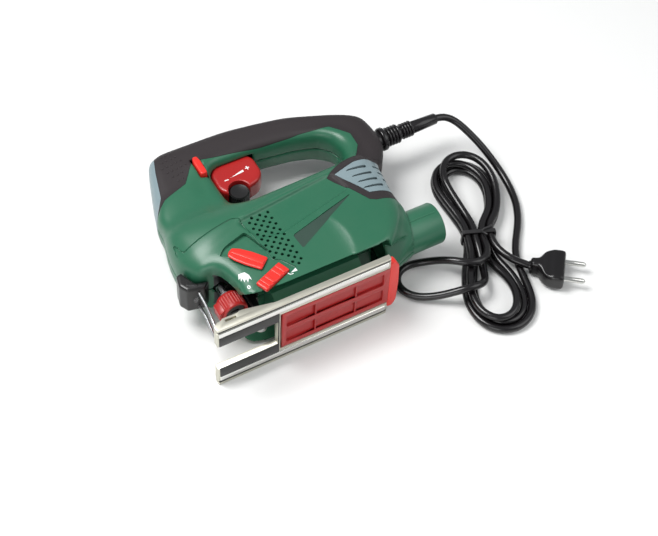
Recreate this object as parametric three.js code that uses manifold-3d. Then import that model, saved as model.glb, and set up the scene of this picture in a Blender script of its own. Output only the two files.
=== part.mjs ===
// Corded orbital jigsaw, lying on its right side. Millimetres.
// +X runs from the nose to the cord, +Y from the sole to the handle, +Z to the tool's left side.
// The shapes are drawn in bench coordinates: the sole at y = 0, the nose at x = 0 and the right side
// at z = 0. The whole tool is then moved so that its middle stands over the origin.
import * as THREE from 'three';
import { mergeVertices } from 'three/addons/utils/BufferGeometryUtils.js';
import Module from 'manifold-3d';

const wasm = await Module();
wasm.setup();

// Driving dimensions.
const LENGTH = 242;        // nose to the back of the grip, without the cord
const HEIGHT = 219;        // sole to the top of the handle
const WIDTH = 76;          // the base plate is as wide as the motor housing
const MID = WIDTH / 2;     // height of the middle plane, where the halves meet
const GAP = 0.3;           // clearance between touching pieces
const WALL = 3;            // thickness of the moulded shells
const MOTOR_Y = 80;        // axis of the armature
const BLADE_X = 34.7;      // axis of the stroke rod
const MODULE = 0.9;        // gear module
const PINION_TEETH = 9;
const GEAR_TEETH = 54;
const GEAR_Y = MOTOR_Y + MODULE * (PINION_TEETH + GEAR_TEETH) / 2;
const GEAR_X = 61;         // front face of the drive gear
const GEAR_WIDTH = 6;
const CRANK = 11.5;        // half of the stroke
const TILT_Y = 2;          // the base tilts about this line, along X in the middle plane
const SWEEP = 39.8;        // the base plate's corners stay inside this radius when it tilts
const PLATE_LENGTH = 163;
const BORE = 4.3;          // a hole for a shaft of radius 4

// ---------- solids ----------

function solidOf(geometry) {
  const bare = geometry.clone();
  bare.deleteAttribute('normal');
  bare.deleteAttribute('uv');
  const merged = mergeVertices(bare);
  return new wasm.Manifold(new wasm.Mesh({
    numProp: 3,
    vertProperties: new Float32Array(merged.attributes.position.array),
    triVerts: new Uint32Array(merged.index.array),
  }));
}

function geometryOf(solid) {
  const mesh = solid.getMesh();
  const geometry = new THREE.BufferGeometry();
  geometry.setAttribute('position', new THREE.BufferAttribute(mesh.vertProperties, 3));
  geometry.setIndex(new THREE.BufferAttribute(mesh.triVerts, 1));
  geometry.computeVertexNormals();
  return geometry;
}

function box(x0, x1, y0, y1, z0, z1) {
  const geometry = new THREE.BoxGeometry(x1 - x0, y1 - y0, z1 - z0);
  return solidOf(geometry.translate((x0 + x1) / 2, (y0 + y1) / 2, (z0 + z1) / 2));
}

function shapeOf(points) {
  return new THREE.Shape(points.map(([a, b]) => new THREE.Vector2(a, b)));
}

function extrude(points, from, to, turn = () => {}) {
  const options = { depth: to - from, bevelEnabled: false, steps: 1, curveSegments: 8 };
  const shape = points instanceof THREE.Shape ? points : shapeOf(points);
  const geometry = new THREE.ExtrudeGeometry(shape, options).translate(0, 0, from);
  turn(geometry);
  return solidOf(geometry);
}

// Points are (x, y), and the solid runs along Z.
const alongZ = (points, z0, z1) => extrude(points, z0, z1);
// Points are (z, y), and the solid runs along X.
const alongX = (points, x0, x1) =>
  extrude(points.map(([z, y]) => [-z, y]), x0, x1, (g) => g.rotateY(Math.PI / 2));
// Points are (x, z), and the solid runs along Y.
const alongY = (points, y0, y1) =>
  extrude(points.map(([x, z]) => [x, -z]), y0, y1, (g) => g.rotateX(-Math.PI / 2));

function circle(a, b, radius, sides = 24, from = 0, to = 2 * Math.PI) {
  const whole = to - from > 6.28;
  const points = [];
  for (let i = 0; i < sides + (whole ? 0 : 1); i++) {
    const angle = from + (to - from) * i / sides;
    points.push([a + radius * Math.cos(angle), b + radius * Math.sin(angle)]);
  }
  return points;
}

const rodX = (y, z, r, x0, x1, sides) => alongX(circle(z, y, r, sides), x0, x1);
const rodY = (x, z, r, y0, y1, sides) => alongY(circle(x, z, r, sides), y0, y1);
const rodZ = (x, y, r, z0, z1, sides) => alongZ(circle(x, y, r, sides), z0, z1);
const ringX = (y, z, outer, inner, x0, x1, sides) =>
  rodX(y, z, outer, x0, x1, sides).subtract(rodX(y, z, inner, x0 - 1, x1 + 1, sides));

// A closed outline moved inwards by a distance, corner by corner.
function inset(points, distance) {
  const count = points.length;
  let area = 0;
  points.forEach(([x, y], i) => {
    const [nx, ny] = points[(i + 1) % count];
    area += x * ny - nx * y;
  });
  const side = Math.sign(area) * distance;
  const normal = ([ax, ay], [bx, by]) => {
    const length = Math.hypot(bx - ax, by - ay);
    return [-(by - ay) / length * side, (bx - ax) / length * side];
  };
  return points.map((point, i) => {
    const before = normal(points[(i + count - 1) % count], point);
    const after = normal(point, points[(i + 1) % count]);
    const sum = [before[0] + after[0], before[1] + after[1]];
    const share = 2 * distance * distance / (sum[0] ** 2 + sum[1] ** 2);
    return [point[0] + sum[0] * share, point[1] + sum[1] * share];
  });
}

// A half section, (half width, height), mirrored about the middle plane.
function mirrored(half) {
  const right = half.map(([w, y]) => [MID + w, y]);
  const left = half.map(([w, y]) => [MID - w, y]).reverse();
  return [...right, ...left];
}

// What a side outline, a front section and a plan outline have in common: a block with its edges
// rounded all round. An inset makes the matching hollow.
function block({ side, section, plan }, wall = 0) {
  const shrink = (points) => wall > 0 ? inset(points, wall) : points;
  const planPoints = plan.map(([x, w]) => [x, MID + w])
    .concat(plan.map(([x, w]) => [x, MID - w]).reverse());
  return alongZ(shrink(side), -1, WIDTH + 1)
    .intersect(alongX(shrink(mirrored(section)), -5, LENGTH + 5))
    .intersect(alongY(shrink(planPoints), -5, HEIGHT + 5));
}

// ---------- outlines ----------

const BODY = {
  side: [[58, 15], [152, 15], [170, 21], [188, 36], [205, 62], [221, 113], [214, 122], [190, 125.5],
    [80, 121.5], [50, 128], [19, 124], [10, 104], [8, 86], [15, 70], [33, 67], [40, 42], [38, 31]],
  section: [[33, 14], [37, 22], [38, 32], [38, 84], [37, 96], [34, 108], [28, 117], [19, 124],
    [10, 128.2]],
  plan: [[7.8, 12], [12, 21], [21, 28], [36, 33.5], [56, 37], [72, 38], [176, 38], [194, 34.5],
    [208, 27], [216, 18], [221.2, 8]],
};
const UPPER = {
  side: [[8.5, 88], [10, 112], [16.5, 147], [28, 159.7], [53, 167.7], [69.5, 189.5], [82, 186.7],
    [171, 176.7], [199, 171], [212, 155], [211, 140], [203, 130], [200, 112], [60, 100]],
  section: [[35, 86], [33, 106], [27, 122], [21.5, 138], [19.5, 152], [19, 192]],
  plan: [[8.3, 10], [12, 16], [19, 20], [32, 25], [48, 33], [64, 36], [215, 36]],
};
const GRIP = {
  side: [[17.5, 151], [29, 160.3], [53, 168.3], [69.5, 190], [82, 187.2], [171, 177.2], [199.2, 171.5],
    [212.5, 155.2], [211.5, 139.8], [203.6, 129.6], [202, 124], [221, 116], [233, 128], [241, 142],
    [242, 150], [242, 160], [238, 174], [212, 186], [172, 203], [112, 217.5], [62, 219], [51, 219],
    [43, 214], [34, 194]],
  section: [[20, 114], [20, 194], [18, 206], [13, 215], [7, 219]],
  plan: [[16, 12], [22, 17], [36, 20], [222, 20], [234, 17], [242, 11]],
};
// The finger opening of the D handle.
const OPENING = [[79, 174], [79, 133], [84, 125.5], [94, 122.5], [180, 126], [192, 131.5], [198, 145],
  [196, 158], [186, 168], [165, 175], [130, 180], [88, 180.5]];
const TRIM = [[13.5, 149.5], [17, 151.2], [33.5, 194.4], [42.5, 214.3], [37.6, 211.2], [24, 176]];
const VENT = [[166, 106], [184, 73], [210, 69], [226, 88], [226, 114], [190, 112]];
const NOSE = [[0, 73], [4, 65], [19, 62], [25, 66.6], [14, 69.6], [7.6, 85.5], [2.5, 84]];
const SCREWS = [[24, 116], [86, 47.5], [150, 113.5], [174, 65]];

// ---------- the moulded shells ----------

const tiltSweep = (extra = 0) => rodX(TILT_Y, MID, SWEEP + extra, -10, LENGTH + 10, 72);
const openingPrism = (grow = 0) => alongZ(grow ? inset(OPENING, -grow) : OPENING, -2, WIDTH + 2);
const bladePocket = (grow = 0) =>
  box(-5, 57 + grow, 5, 66 + grow, MID - 18 - grow, MID + 18 + grow);

// The whole green moulding before it is split along the middle plane.
function mouldedBody() {
  const outside = block(BODY).add(block(UPPER)).subtract(tiltSweep()).subtract(openingPrism())
    .subtract(bladePocket()).subtract(alongZ(inset(GRIP.side, -GAP), -2, WIDTH + 2));
  const keepOut = tiltSweep(WALL).add(openingPrism(WALL)).add(bladePocket(WALL));
  const inside = block(BODY, WALL).add(block(UPPER, WALL)).subtract(keepOut);
  return { outside, inside };
}

const moulded = mouldedBody();
const gripOutside = block(GRIP).subtract(openingPrism());
const gripInside = block(GRIP, WALL).subtract(openingPrism(WALL));

function halfSpace(left) {
  const split = GAP / 2;
  return left ? box(-9, LENGTH + 9, -9, HEIGHT + 9, MID + split, WIDTH + 9)
    : box(-9, LENGTH + 9, -9, HEIGHT + 9, -9, MID - split);
}

const PORT = { y: 42.5, outer: 19, inner: 16.5, front: 178, back: 236 };
const TRIGGER_WIDTH = 20;

// The orbit lever turns on the left side about this point.
const ORBIT = { x: 62.6, y: 48.8, reach: 27, hub: 9, angle: 130, swing: 54 };
const BLOWER = { x: 66, y: 29.5, angle: 22 * Math.PI / 180, length: 29, width: 12, travel: 7 };

function slot(centreX, centreY, angle, before, after, halfWidth) {
  const along = [Math.cos(angle), Math.sin(angle)];
  const corner = (l, w) => [centreX + along[0] * l - along[1] * w, centreY + along[1] * l + along[0] * w];
  return [corner(-before, -halfWidth), corner(after, -halfWidth), corner(after, halfWidth),
    corner(-before, halfWidth)];
}

function leverOutline(turn, grow = 0) {
  const angle = (ORBIT.angle + turn) * Math.PI / 180;
  return slot(ORBIT.x, ORBIT.y, angle, 6, ORBIT.reach - 1 + grow, 6.2 + grow);
}

// Recesses that the left housing gives to its controls.
function leftPockets() {
  const sector = [[ORBIT.x, ORBIT.y],
    ...circle(ORBIT.x, ORBIT.y, ORBIT.reach + 1.5, 8, Math.PI * 0.38, Math.PI * 0.80)];
  const orbit = alongZ(sector, 72.5, WIDTH + 1)
    .add(alongZ(leverOutline(0, 0.7), 72.5, WIDTH + 1))
    .add(alongZ(leverOutline(-ORBIT.swing, 0.7), 72.5, WIDTH + 1))
    .add(rodZ(ORBIT.x, ORBIT.y, ORBIT.hub + 0.8, 72.5, WIDTH + 1))
    .add(rodZ(ORBIT.x, ORBIT.y, 3.4, 60, WIDTH, 16));
  const { x, y, angle, length, width, travel } = BLOWER;
  const blower = alongZ(slot(x, y, angle, length / 2 + travel + 0.4, length / 2 + 0.4, width / 2 + 0.4),
    72.5, WIDTH + 1);
  return orbit.add(blower);
}

function ventPrism(grow = 0) {
  return alongZ(grow ? inset(VENT, -grow) : VENT, -2, WIDTH + 2);
}

function screwBosses(left) {
  const [z0, z1] = left ? [MID, WIDTH] : [0, MID];
  return SCREWS.map(([x, y]) => rodZ(x, y, 4.4, z0, z1, 12)).reduce((a, b) => a.add(b));
}

function screwHoles(left) {
  return SCREWS.map(([x, y]) => {
    const shank = rodZ(x, y, 2.1, left ? MID - 1 : -2, left ? 56 : MID + 1, 10);
    return left ? shank : shank.add(rodZ(x, y, 4, -2, 5.6, 12));
  }).reduce((a, b) => a.add(b));
}

function housingHalf(left) {
  let shell = moulded.outside.subtract(moulded.inside);
  shell = shell.add(screwBosses(left).intersect(moulded.outside)
    .subtract(rodX(MOTOR_Y, MID, 30, 70, 160, 24)));
  shell = shell.intersect(halfSpace(left)).subtract(screwHoles(left)).subtract(ventPrism(GAP));
  shell = shell.subtract(rodX(PORT.y, MID, PORT.outer + GAP, 170, 250, 32));
  shell = shell.subtract(box(80, 126, 150, 192, MID - 10.6, MID + 10.6));      // trigger slot
  shell = shell.subtract(rodY(BLADE_X, MID, 5.4, 60, 178, 20));                // stroke rod
  shell = shell.subtract(alongZ(inset(NOSE, -GAP), MID - 15.3, MID + 15.3));
  if (left) {
    shell = shell.subtract(leftPockets()).subtract(box(69, 76.6, 169.6, 194, 44, 60));
  }
  return shell;
}

function gripHalf(left) {
  return gripOutside.subtract(gripInside).intersect(halfSpace(left))
    .subtract(alongZ(inset(TRIM, -GAP), 0, WIDTH))
    .subtract(rodX(151, MID, 8.3, 230, 250, 20)).subtract(rodY(BLADE_X, MID, 5.4, 140, 178, 20))
    .subtract(box(80, 126, 150, 192, MID - 10.6, MID + 10.6))
    .subtract(left ? box(69, 76.6, 169.6, 194, 44, 60) : box(69, 76.6, 169.6, 171, 44, 45));
}

function vent(left) {
  let piece = moulded.outside.subtract(moulded.inside).intersect(ventPrism()).intersect(halfSpace(left))
    .intersect(left ? box(160, 230, 60, 120, MID + 6, 90) : box(160, 230, 60, 120, -9, MID - 6));
  for (let i = 0; i < 4; i++) {
    const y = 104 - i * 8.5;
    const bar = slot(196 - i * 1.5, y, -0.12, 11 - i * 1.2, 9 - i, 1.5);
    piece = piece.subtract(left ? alongZ(bar, MID + 8, 90) : alongZ(bar, -9, MID - 8));
  }
  return piece;
}

// ---------- running gear ----------

function gearOutline(teeth, clearance) {
  const pitch = MODULE * teeth / 2;
  const root = pitch - 1.2 * MODULE;
  const tip = pitch + 0.9 * MODULE;
  const step = 2 * Math.PI / teeth;
  const points = [];
  for (let i = 0; i < teeth; i++) {
    const middle = i * step;
    const wide = step * (0.25 - clearance);
    for (const [radius, offset] of [[root, -wide * 1.35], [tip, -wide * 0.5], [tip, wide * 0.5],
      [root, wide * 1.35]]) {
      points.push([radius * Math.cos(middle + offset), radius * Math.sin(middle + offset)]);
    }
  }
  return points;
}

function placed(outline, y, z, turn = 0) {
  const [c, s] = [Math.cos(turn), Math.sin(turn)];
  return outline.map(([a, b]) => [z + a * c - b * s, y + a * s + b * c]);
}

function armatureShaft() {
  const teeth = alongX(placed(gearOutline(PINION_TEETH, 0.05), MOTOR_Y, MID, Math.PI / 2),
    GEAR_X - 0.5, GEAR_X + GEAR_WIDTH + 1);
  return teeth.add(rodX(MOTOR_Y, MID, 4, GEAR_X + GEAR_WIDTH + 0.5, 193, 16));
}

function driveGear() {
  const turn = -Math.PI / 2 + Math.PI / GEAR_TEETH;
  const wheel = alongX(placed(gearOutline(GEAR_TEETH, 0.03), GEAR_Y, MID, turn),
    GEAR_X, GEAR_X + GEAR_WIDTH);
  return wheel.add(rodX(GEAR_Y, MID, 8, GEAR_X, GEAR_X + GEAR_WIDTH + 2, 20))
    .add(rodX(GEAR_Y, MID + CRANK, 2.5, 52.5, GEAR_X + 1, 12))
    .subtract(rodX(GEAR_Y, MID, BORE, GEAR_X - 1, GEAR_X + 12, 16));
}

function fan() {
  const hub = ringX(MOTOR_Y, MID, 9, BORE, 79, 92, 20).add(ringX(MOTOR_Y, MID, 27, 8, 79, 81, 32));
  let wheel = hub;
  for (let i = 0; i < 9; i++) {
    const blade = box(80, 91, MOTOR_Y + 8, MOTOR_Y + 26, MID - 0.8, MID + 0.8);
    wheel = wheel.add(turnedX(blade, i * 40));
  }
  return wheel;
}

function turnedX(solid, degrees, y = MOTOR_Y, z = MID) {
  return solid.translate([0, -y, -z]).rotate([degrees, 0, 0]).translate([0, y, z]);
}

function arcX(outer, inner, x0, x1, from, to) {
  const points = circle(MID, MOTOR_Y, outer, 10, from, to)
    .concat(circle(MID, MOTOR_Y, inner, 10, from, to).reverse());
  return alongX(points, x0, x1);
}

function statorCore() {
  const flats = box(99, 149, MOTOR_Y - 25.5, MOTOR_Y + 25.5, MID - 22, MID + 22);
  const coilRoom = arcX(20.6, 14, 98, 150, 0.4, Math.PI - 0.4)
    .add(arcX(20.6, 14, 98, 150, Math.PI + 0.4, 2 * Math.PI - 0.4));
  return rodX(MOTOR_Y, MID, 25.5, 99, 149, 32).intersect(flats)
    .subtract(rodX(MOTOR_Y, MID, 15.8, 98, 150, 32)).subtract(coilRoom);
}

const fieldWinding = (from) => arcX(20.2, 16.2, 94, 155, from + 0.45, from + Math.PI - 0.45);

function gearCase() {
  const outline = [[12, 58], [64, 58], [66, 80], [61, 112], [56, 128], [20, 128], [15, 112], [10, 80]];
  return alongX(outline, 72, 77.6)
    .subtract(rodX(MOTOR_Y, MID, 11.3, 70, 80, 24))
    .subtract(rodX(GEAR_Y, MID, BORE, 70, 80, 16));
}

function strokeRod() {
  const yoke = box(38, 51, GEAR_Y - 8.3, GEAR_Y + 8.3, MID - 20, MID + 20)
    .subtract(box(42, 52, GEAR_Y - 4.4, GEAR_Y + 4.4, MID - 17, MID + 17));
  return rodY(BLADE_X, MID, 4, 43, 151, 16)
    .add(box(BLADE_X, 40, GEAR_Y - 8.3, GEAR_Y + 8.3, MID - 4, MID + 4)).add(yoke);
}

function bush(y0, y1) {
  return box(26.5, 43, y0, y1, MID - 9, MID + 9).subtract(rodY(BLADE_X, MID, 4.4, y0 - 1, y1 + 1, 24));
}

function bladeClamp() {
  return rodY(BLADE_X, MID, 9, 38, 54, 20)
    .subtract(rodY(BLADE_X, MID, BORE, 42.6, 60, 16))
    .subtract(box(BLADE_X - 4, BLADE_X + 4, 30, 43.5, MID - 1, MID + 1));
}

function clampCollar() {
  const wing = alongY([[24, 31.5], [20, 33], [19.6, 42], [24.4, 44]], 37, 49);
  return rodY(BLADE_X, MID, 11.6, 35.5, 52, 24).add(wing)
    .subtract(rodY(BLADE_X, MID, 9.4, 30, 60, 20));
}

const ROLLER = { x: 47, y: 15, radius: 5.5 };

function orbitFork() {
  const arm = alongZ([[50, 60], [55.5, 60], [55, 34], [51, 22], [48, 22], [50, 36]], 34.5, 41.5);
  const cheek = (z) => alongZ([[50.2, 28], [53.5, 28], [51, 12], [44, 12], [43.6, 18], [47, 21.5]],
    z, z + 1.6);
  return arm.add(cheek(33)).add(cheek(41.4)).add(rodZ(ROLLER.x, ROLLER.y, 1.6, 33.5, 42.5, 12));
}

// ---------- base ----------

function basePlate() {
  const sheet = box(0, PLATE_LENGTH, 4.8, 6.6, 4, WIDTH - 4);
  const wallOutline = [[0, 0], [PLATE_LENGTH, 0], [PLATE_LENGTH, 4.8], [53, 4.8], [27, 11], [8, 11],
    [3, 8], [0, 6]];
  const wall = (z) => alongZ(wallOutline, z, z + 4);
  const rail = (z0) => box(0, PLATE_LENGTH, 0, 5, z0, z0 + 14)
    .subtract(box(-1, PLATE_LENGTH + 1, -1, 1.2, z0 + (z0 ? 9.5 : 2.2), z0 + (z0 ? 11.8 : 4.5)));
  const front = box(0, 58, 0, 5, 2, WIDTH - 2);
  const hump = rodX(TILT_Y, MID, 16, 62, 150, 32).intersect(box(60, 152, 5, 30, 0, WIDTH));
  return sheet.add(wall(0)).add(wall(WIDTH - 4)).add(rail(0)).add(rail(WIDTH - 14)).add(front).add(hump)
    .subtract(box(-1, 56, -1, 30, MID - 15.5, MID + 15.5))
    .subtract(rodX(TILT_Y, MID, 12.5, 61, 151, 32).intersect(box(60, 152, 7, 30, 0, WIDTH)))
    .subtract(box(91.6, 98.4, 9.6, 30, MID - 13.8, MID + 13.8))
    .subtract(box(80, 112, 4, 10, MID - 11.5, MID + 11.5))
    .subtract(box(9, 21, 4.5, 8.4, WIDTH - 5, WIDTH + 1));
}

function tiltFoot() {
  const section = [[-4.4, 14], [4.4, 14], [18, 27.6], [18, 46], [-18, 46], [-18, 27.6]];
  return alongX(section.map(([z, y]) => [MID + z, y]), 64, 148)
    .intersect(rodX(TILT_Y, MID, SWEEP - GAP, 60, 152, 72))
    .subtract(rodX(TILT_Y, MID, 16.4, 60, 152, 32))
    .subtract(box(92.3, 103.7, 0, 60, MID - 2.7, MID + 2.7));
}

// Inside the hump: it slides along X with the base, and the base tilts round it.
function clampPlate() {
  const slab = rodX(TILT_Y, MID, 12.1, 84, 106, 28)
    .intersect(box(80, 110, 12.5, 20, MID - 5.4, MID + 5.4));
  return slab.subtract(rodY(95, MID, 2.8, 0, 40, 16));
}

function baseScrew() {
  return rodY(95, MID, 3.8, 11.2, 12.2, 12).add(rodY(95, MID, 2, 12, 36, 12));
}

function bladeDepot() {
  const tray = box(60, PLATE_LENGTH + 2, 0.9, 4.3, 15, WIDTH - 15)
    .subtract(box(64, 158, 0, 2.6, 20, MID - 3)).subtract(box(64, 158, 0, 2.6, MID + 3, WIDTH - 20));
  const cap = alongY([[163.4, 8], [168.5, 8], [172, 14], [173, MID], [172, WIDTH - 14],
    [168.5, WIDTH - 8], [163.4, WIDTH - 8]], 0.4, 8);
  return tray.add(cap);
}

// ---------- controls ----------

function trigger() {
  const outline = [[80.5, 176], [80, 158], [84, 151], [92, 147.5], [103, 148], [118, 152],
    [124.5, 160], [125, 178], [121, 184], [86, 184]];
  return alongZ(outline, MID - TRIGGER_WIDTH / 2, MID + TRIGGER_WIDTH / 2)
    .subtract(rodZ(96.6, 150, 9.6, MID - 6.6, WIDTH, 28));
}

const speedDial = () => rodZ(96.6, 150, 9.2, MID - 6.2, MID + 9, 28);
const lockButton = () => alongZ([[70, 171], [75.6, 171], [76, 186], [73.5, 193], [70, 186]], 47, 59.5);

function orbitLever() {
  return alongZ(leverOutline(0), 72.9, 76).add(rodZ(ORBIT.x, ORBIT.y, ORBIT.hub - 0.2, 72.9, 75.6, 20))
    .add(rodZ(ORBIT.x, ORBIT.y, 3, 61, 73, 12));
}

function blowerSlide() {
  const { x, y, angle, length, width } = BLOWER;
  return alongZ(slot(x, y, angle, length / 2, length / 2, width / 2), 72.9, 76);
}

function wireGuard() {
  const half = [[13.6, 62.2, -9], [13, 48, -9], [10.5, 30, -9], [10, 24.5, -8], [10, 22, -4]];
  const path = new THREE.CatmullRomCurve3([...half, ...half.map(([x, y, z]) => [x, y, -z]).reverse()]
    .map(([x, y, z]) => new THREE.Vector3(x, y, MID + z)));
  return tube(path, 1.2, 8, 28);
}

function tube(path, radius, sides, steps) {
  const shape = shapeOf(circle(0, 0, radius, sides));
  return solidOf(new THREE.ExtrudeGeometry(shape, { steps, bevelEnabled: false, extrudePath: path }));
}

// ---------- cord ----------
// Its points are taken from the tool's middle, (x, y) over the surface and z above it.

const CORD_RADIUS = 3.5;
const LEAD = [[182.8, 41.5, 38], [190, 41.4, 37.6], [199, 36, 34], [207, 21, 27], [213, 6, 19.5],
  [217, -10, 12], [218.5, -26, 6.5], [216.5, -44, 4], [210.5, -62, 3.8], [200, -80, 3.8],
  [187, -96, 3.8], [177, -110, 3.8], [165, -121, 3.8]];
const LOOP = [[126, -107, 15], [118.5, -100, 15.8], [111, -91, 13.6], [103, -83.5, 8.5],
  [93.5, -77.5, 4.6], [82, -75, 3.8], [71, -79.5, 3.8], [65, -89.5, 3.8], [66.5, -101, 3.8],
  [73, -109.5, 3.9], [81, -115.5, 6], [90, -121, 9], [99, -126, 13], [112, -131.5, 15.8]];
const TAIL = [[162, -98, 12.1], [163, -106, 12], [165.5, -114, 11.8], [170.5, -122.5, 11.4],
  [176.9, -128.7, 9.9]];
const HANK = [[146.8, -60], [147.4, -45], [147.4, -28], [149.2, -10], [157, 5], [169.8, 13.4],
  [185, 14.3], [198.8, 7], [206.6, -8], [207.8, -28], [201, -48], [189, -65.5], [171.2, -82.2],
  [169.8, -88.9], [170.6, -102], [172.7, -123], [171.1, -145], [163.8, -165.2], [148.6, -179.4],
  [129.4, -182.1], [112.5, -173.2], [104.9, -155.2], [107, -133], [119.2, -110.3], [132.5, -91.5],
  [140.7, -77.7], [143.4, -71.1]];
const TIE = { x: 156, y: -80, turn: -21.8 };
const PLUG = { x: 178.5, y: -130, z: 9.6, turn: -38 };

const cordTube = (points) => tube(
  new THREE.CatmullRomCurve3(points.map((p) => new THREE.Vector3(...p)), false, 'centripetal'),
  CORD_RADIUS, 8, Math.min(40, Math.round(points.length * 3)));

const placedAt = (solid, { x, y, z = 0, turn }) => solid.rotate([0, 0, turn]).translate([x, y, z]);

function cordHank() {
  const waist = placedAt(box(-40, 40, -3.6, 3.6, -1, 40), TIE);
  const core = placedAt(box(-14, 14, -4, 4, 2, 15.4), TIE);
  return alongZ(HANK, GAP, 20).subtract(waist).add(core);
}

const outsideHank = (solid) => solid.subtract(alongZ(inset(HANK, -GAP), -9, 40))
  .subtract(placedAt(box(-16, 16, -3.5, 3.5, -1, 18), TIE));

const cordTie = () => placedAt(box(-15.8, 15.8, -3, 3, 0.2, 17.4)
  .subtract(box(-14.4, 14.4, -4, 4, 1.6, 15.9)), TIE);

function cordBoot() {
  const profile = [[0, 0], [8, 0], [8, 6], [11, 6.3], [11, 13], [8, 14], [9.5, 20], [8, 22], [8.5, 28],
    [7, 30], [7.6, 36], [6, 40], [5.4, 67.2], [0, 67.2]];
  const turned = new THREE.LatheGeometry(profile.map(([r, x]) => new THREE.Vector2(r, x)), 20);
  return solidOf(turned.rotateZ(-Math.PI / 2).translate(236, 151, MID));
}

// The plug's own frame: its cable end at the origin, its pins along +X.
function plugBody() {
  const outline = [[0, -4.5], [6, -5], [13, -15], [22, -17.5], [31, -17], [31, 17], [22, 17.5],
    [13, 15], [6, 5], [0, 4.5]];
  return placedAt(alongZ(outline, -8.5, 8.5), PLUG);
}

const plugPin = (side) => placedAt(rodX(side * 9.5, 0, 2, 31.3, 50, 12), PLUG);

// ---------- colours and the list of pieces ----------

const GREEN = [0x2f7d60, 0.42, 0];
const BLACK = [0x2b292a, 0.75, 0];
const RED = [0xd8261f, 0.35, 0];
const GREY = [0x87979f, 0.5, 0];
const STEEL = [0x9a9a98, 0.3, 1];
const COPPER = [0xa65a2a, 0.4, 1];
const ALUMINIUM = [0xc9c8bb, 0.45, 0.9];
const NYLON = [0x3a3d3c, 0.6, 0];

const tool = new THREE.Group();
tool.name = 'jigsaw';
tool.position.set(-LENGTH / 2, -HEIGHT / 2, 0);

function add(name, solid, [color, roughness, metalness], group = tool) {
  const material = new THREE.MeshStandardMaterial({ color, roughness, metalness });
  const mesh = new THREE.Mesh(geometryOf(solid), material);
  mesh.name = name;
  group.add(mesh);
}

for (const [name, left] of [['left', true], ['right', false]]) {
  add(`${name}_housing`, housingHalf(left), GREEN);
  add(`${name}_grip`, gripHalf(left), BLACK);
  add(`${name}_rear_vent`, vent(left), GREY);
}
SCREWS.forEach(([x, y], i) => {
  const screw = rodZ(x, y, 3.4, 2.8, 5.2, 12).add(rodZ(x, y, 1.8, 4, 52, 8));
  add(`housing_screw_${i + 1}`, screw, STEEL);
});
add('head_trim', block({ ...GRIP, side: TRIM }), GREY);
add('nose_cover', alongZ(NOSE, MID - 15, MID + 15).subtract(rodY(12, MID, 3.8, 60, 68.4, 16)), BLACK);
add('work_light', rodY(12, MID, 3.4, 63.2, 68, 16), [0xe8eef0, 0.1, 0]);
add('dust_port', ringX(PORT.y, MID, PORT.outer, PORT.inner, PORT.front, PORT.back, 32), GREEN);

add('gear_case', gearCase(), ALUMINIUM);
add('gear_axle', rodX(GEAR_Y, MID, 4, 58, 77, 16), STEEL);
add('upper_rod_bush', bush(130, 138), COPPER);
add('lower_rod_bush', bush(72.4, 82.4), COPPER);
add('stator_core', statorCore(), STEEL);
add('upper_field_winding', fieldWinding(0), COPPER);
add('lower_field_winding', fieldWinding(Math.PI), COPPER);
add('front_bearing', ringX(MOTOR_Y, MID, 11, BORE, 72.2, 77.4, 24), STEEL);
add('rear_bearing', ringX(MOTOR_Y, MID, 9.5, BORE, 184, 191, 24), STEEL);
for (const [name, sign] of [['left', 1], ['right', -1]]) {
  const span = (a, b) => [MID + sign * a, MID + sign * b].sort((p, q) => p - q);
  const brush = box(162, 168, 77, 83, ...span(9.6, 22));
  const holder = box(159, 171, 74, 86, ...span(11, 24))
    .subtract(box(161.6, 168.4, 76.6, 83.4, ...span(9, 22.4)));
  add(`${name}_carbon_brush`, brush, NYLON);
  add(`${name}_brush_holder`, holder, COPPER);
}
add('armature_shaft', armatureShaft(), STEEL);
add('armature_core', ringX(MOTOR_Y, MID, 15, BORE, 101, 147, 24), STEEL);
add('commutator', ringX(MOTOR_Y, MID, 9, BORE, 158, 172, 24), COPPER);
add('cooling_fan', fan(), NYLON);
add('drive_gear', driveGear(), STEEL);
add('crank_roller', ringX(GEAR_Y, MID + CRANK, 4.1, 2.8, 53, 59.5, 20), STEEL);
add('stroke_rod', strokeRod(), STEEL);
add('blade_clamp', bladeClamp(), STEEL);
add('clamp_collar', clampCollar(), RED);
add('orbit_fork', orbitFork(), STEEL);
add('guide_roller', rodZ(ROLLER.x, ROLLER.y, ROLLER.radius, 35, 41, 24)
  .subtract(rodZ(ROLLER.x, ROLLER.y, 1.95, 30, 45, 12)), STEEL);

add('trigger', trigger(), RED);
add('speed_dial', speedDial(), BLACK);
add('lock_button', lockButton(), RED);
add('switch_module', box(86, 122, 193.5, 209, MID - 9, MID + 9), NYLON);
add('control_board', box(216, 228, 134, 146, MID - 8, MID + 8), NYLON);
add('orbit_lever', orbitLever(), RED);
add('blower_slide', blowerSlide(), RED);

add('base_plate', basePlate(), ALUMINIUM);
add('tilt_foot', tiltFoot(), NYLON);
add('base_clamp', clampPlate(), STEEL);
add('base_screw', baseScrew(), STEEL);
add('blade_depot', bladeDepot(), RED);
add('wire_guard', wireGuard(), STEEL);

const cord = new THREE.Group();
cord.position.set(LENGTH / 2, HEIGHT / 2, 0);
tool.add(cord);
add('cord_boot', cordBoot(), BLACK);
add('cord_lead', outsideHank(cordTube(LEAD)), BLACK, cord);
add('cord_loop', outsideHank(cordTube(LOOP)), BLACK, cord);
add('cord_tail', outsideHank(cordTube(TAIL)), BLACK, cord);
add('cord_hank', cordHank(), BLACK, cord);
add('cord_tie', cordTie(), BLACK, cord);
add('plug_body', plugBody(), BLACK, cord);
add('upper_plug_pin', plugPin(1), STEEL, cord);
add('lower_plug_pin', plugPin(-1), STEEL, cord);

export default tool;
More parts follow.
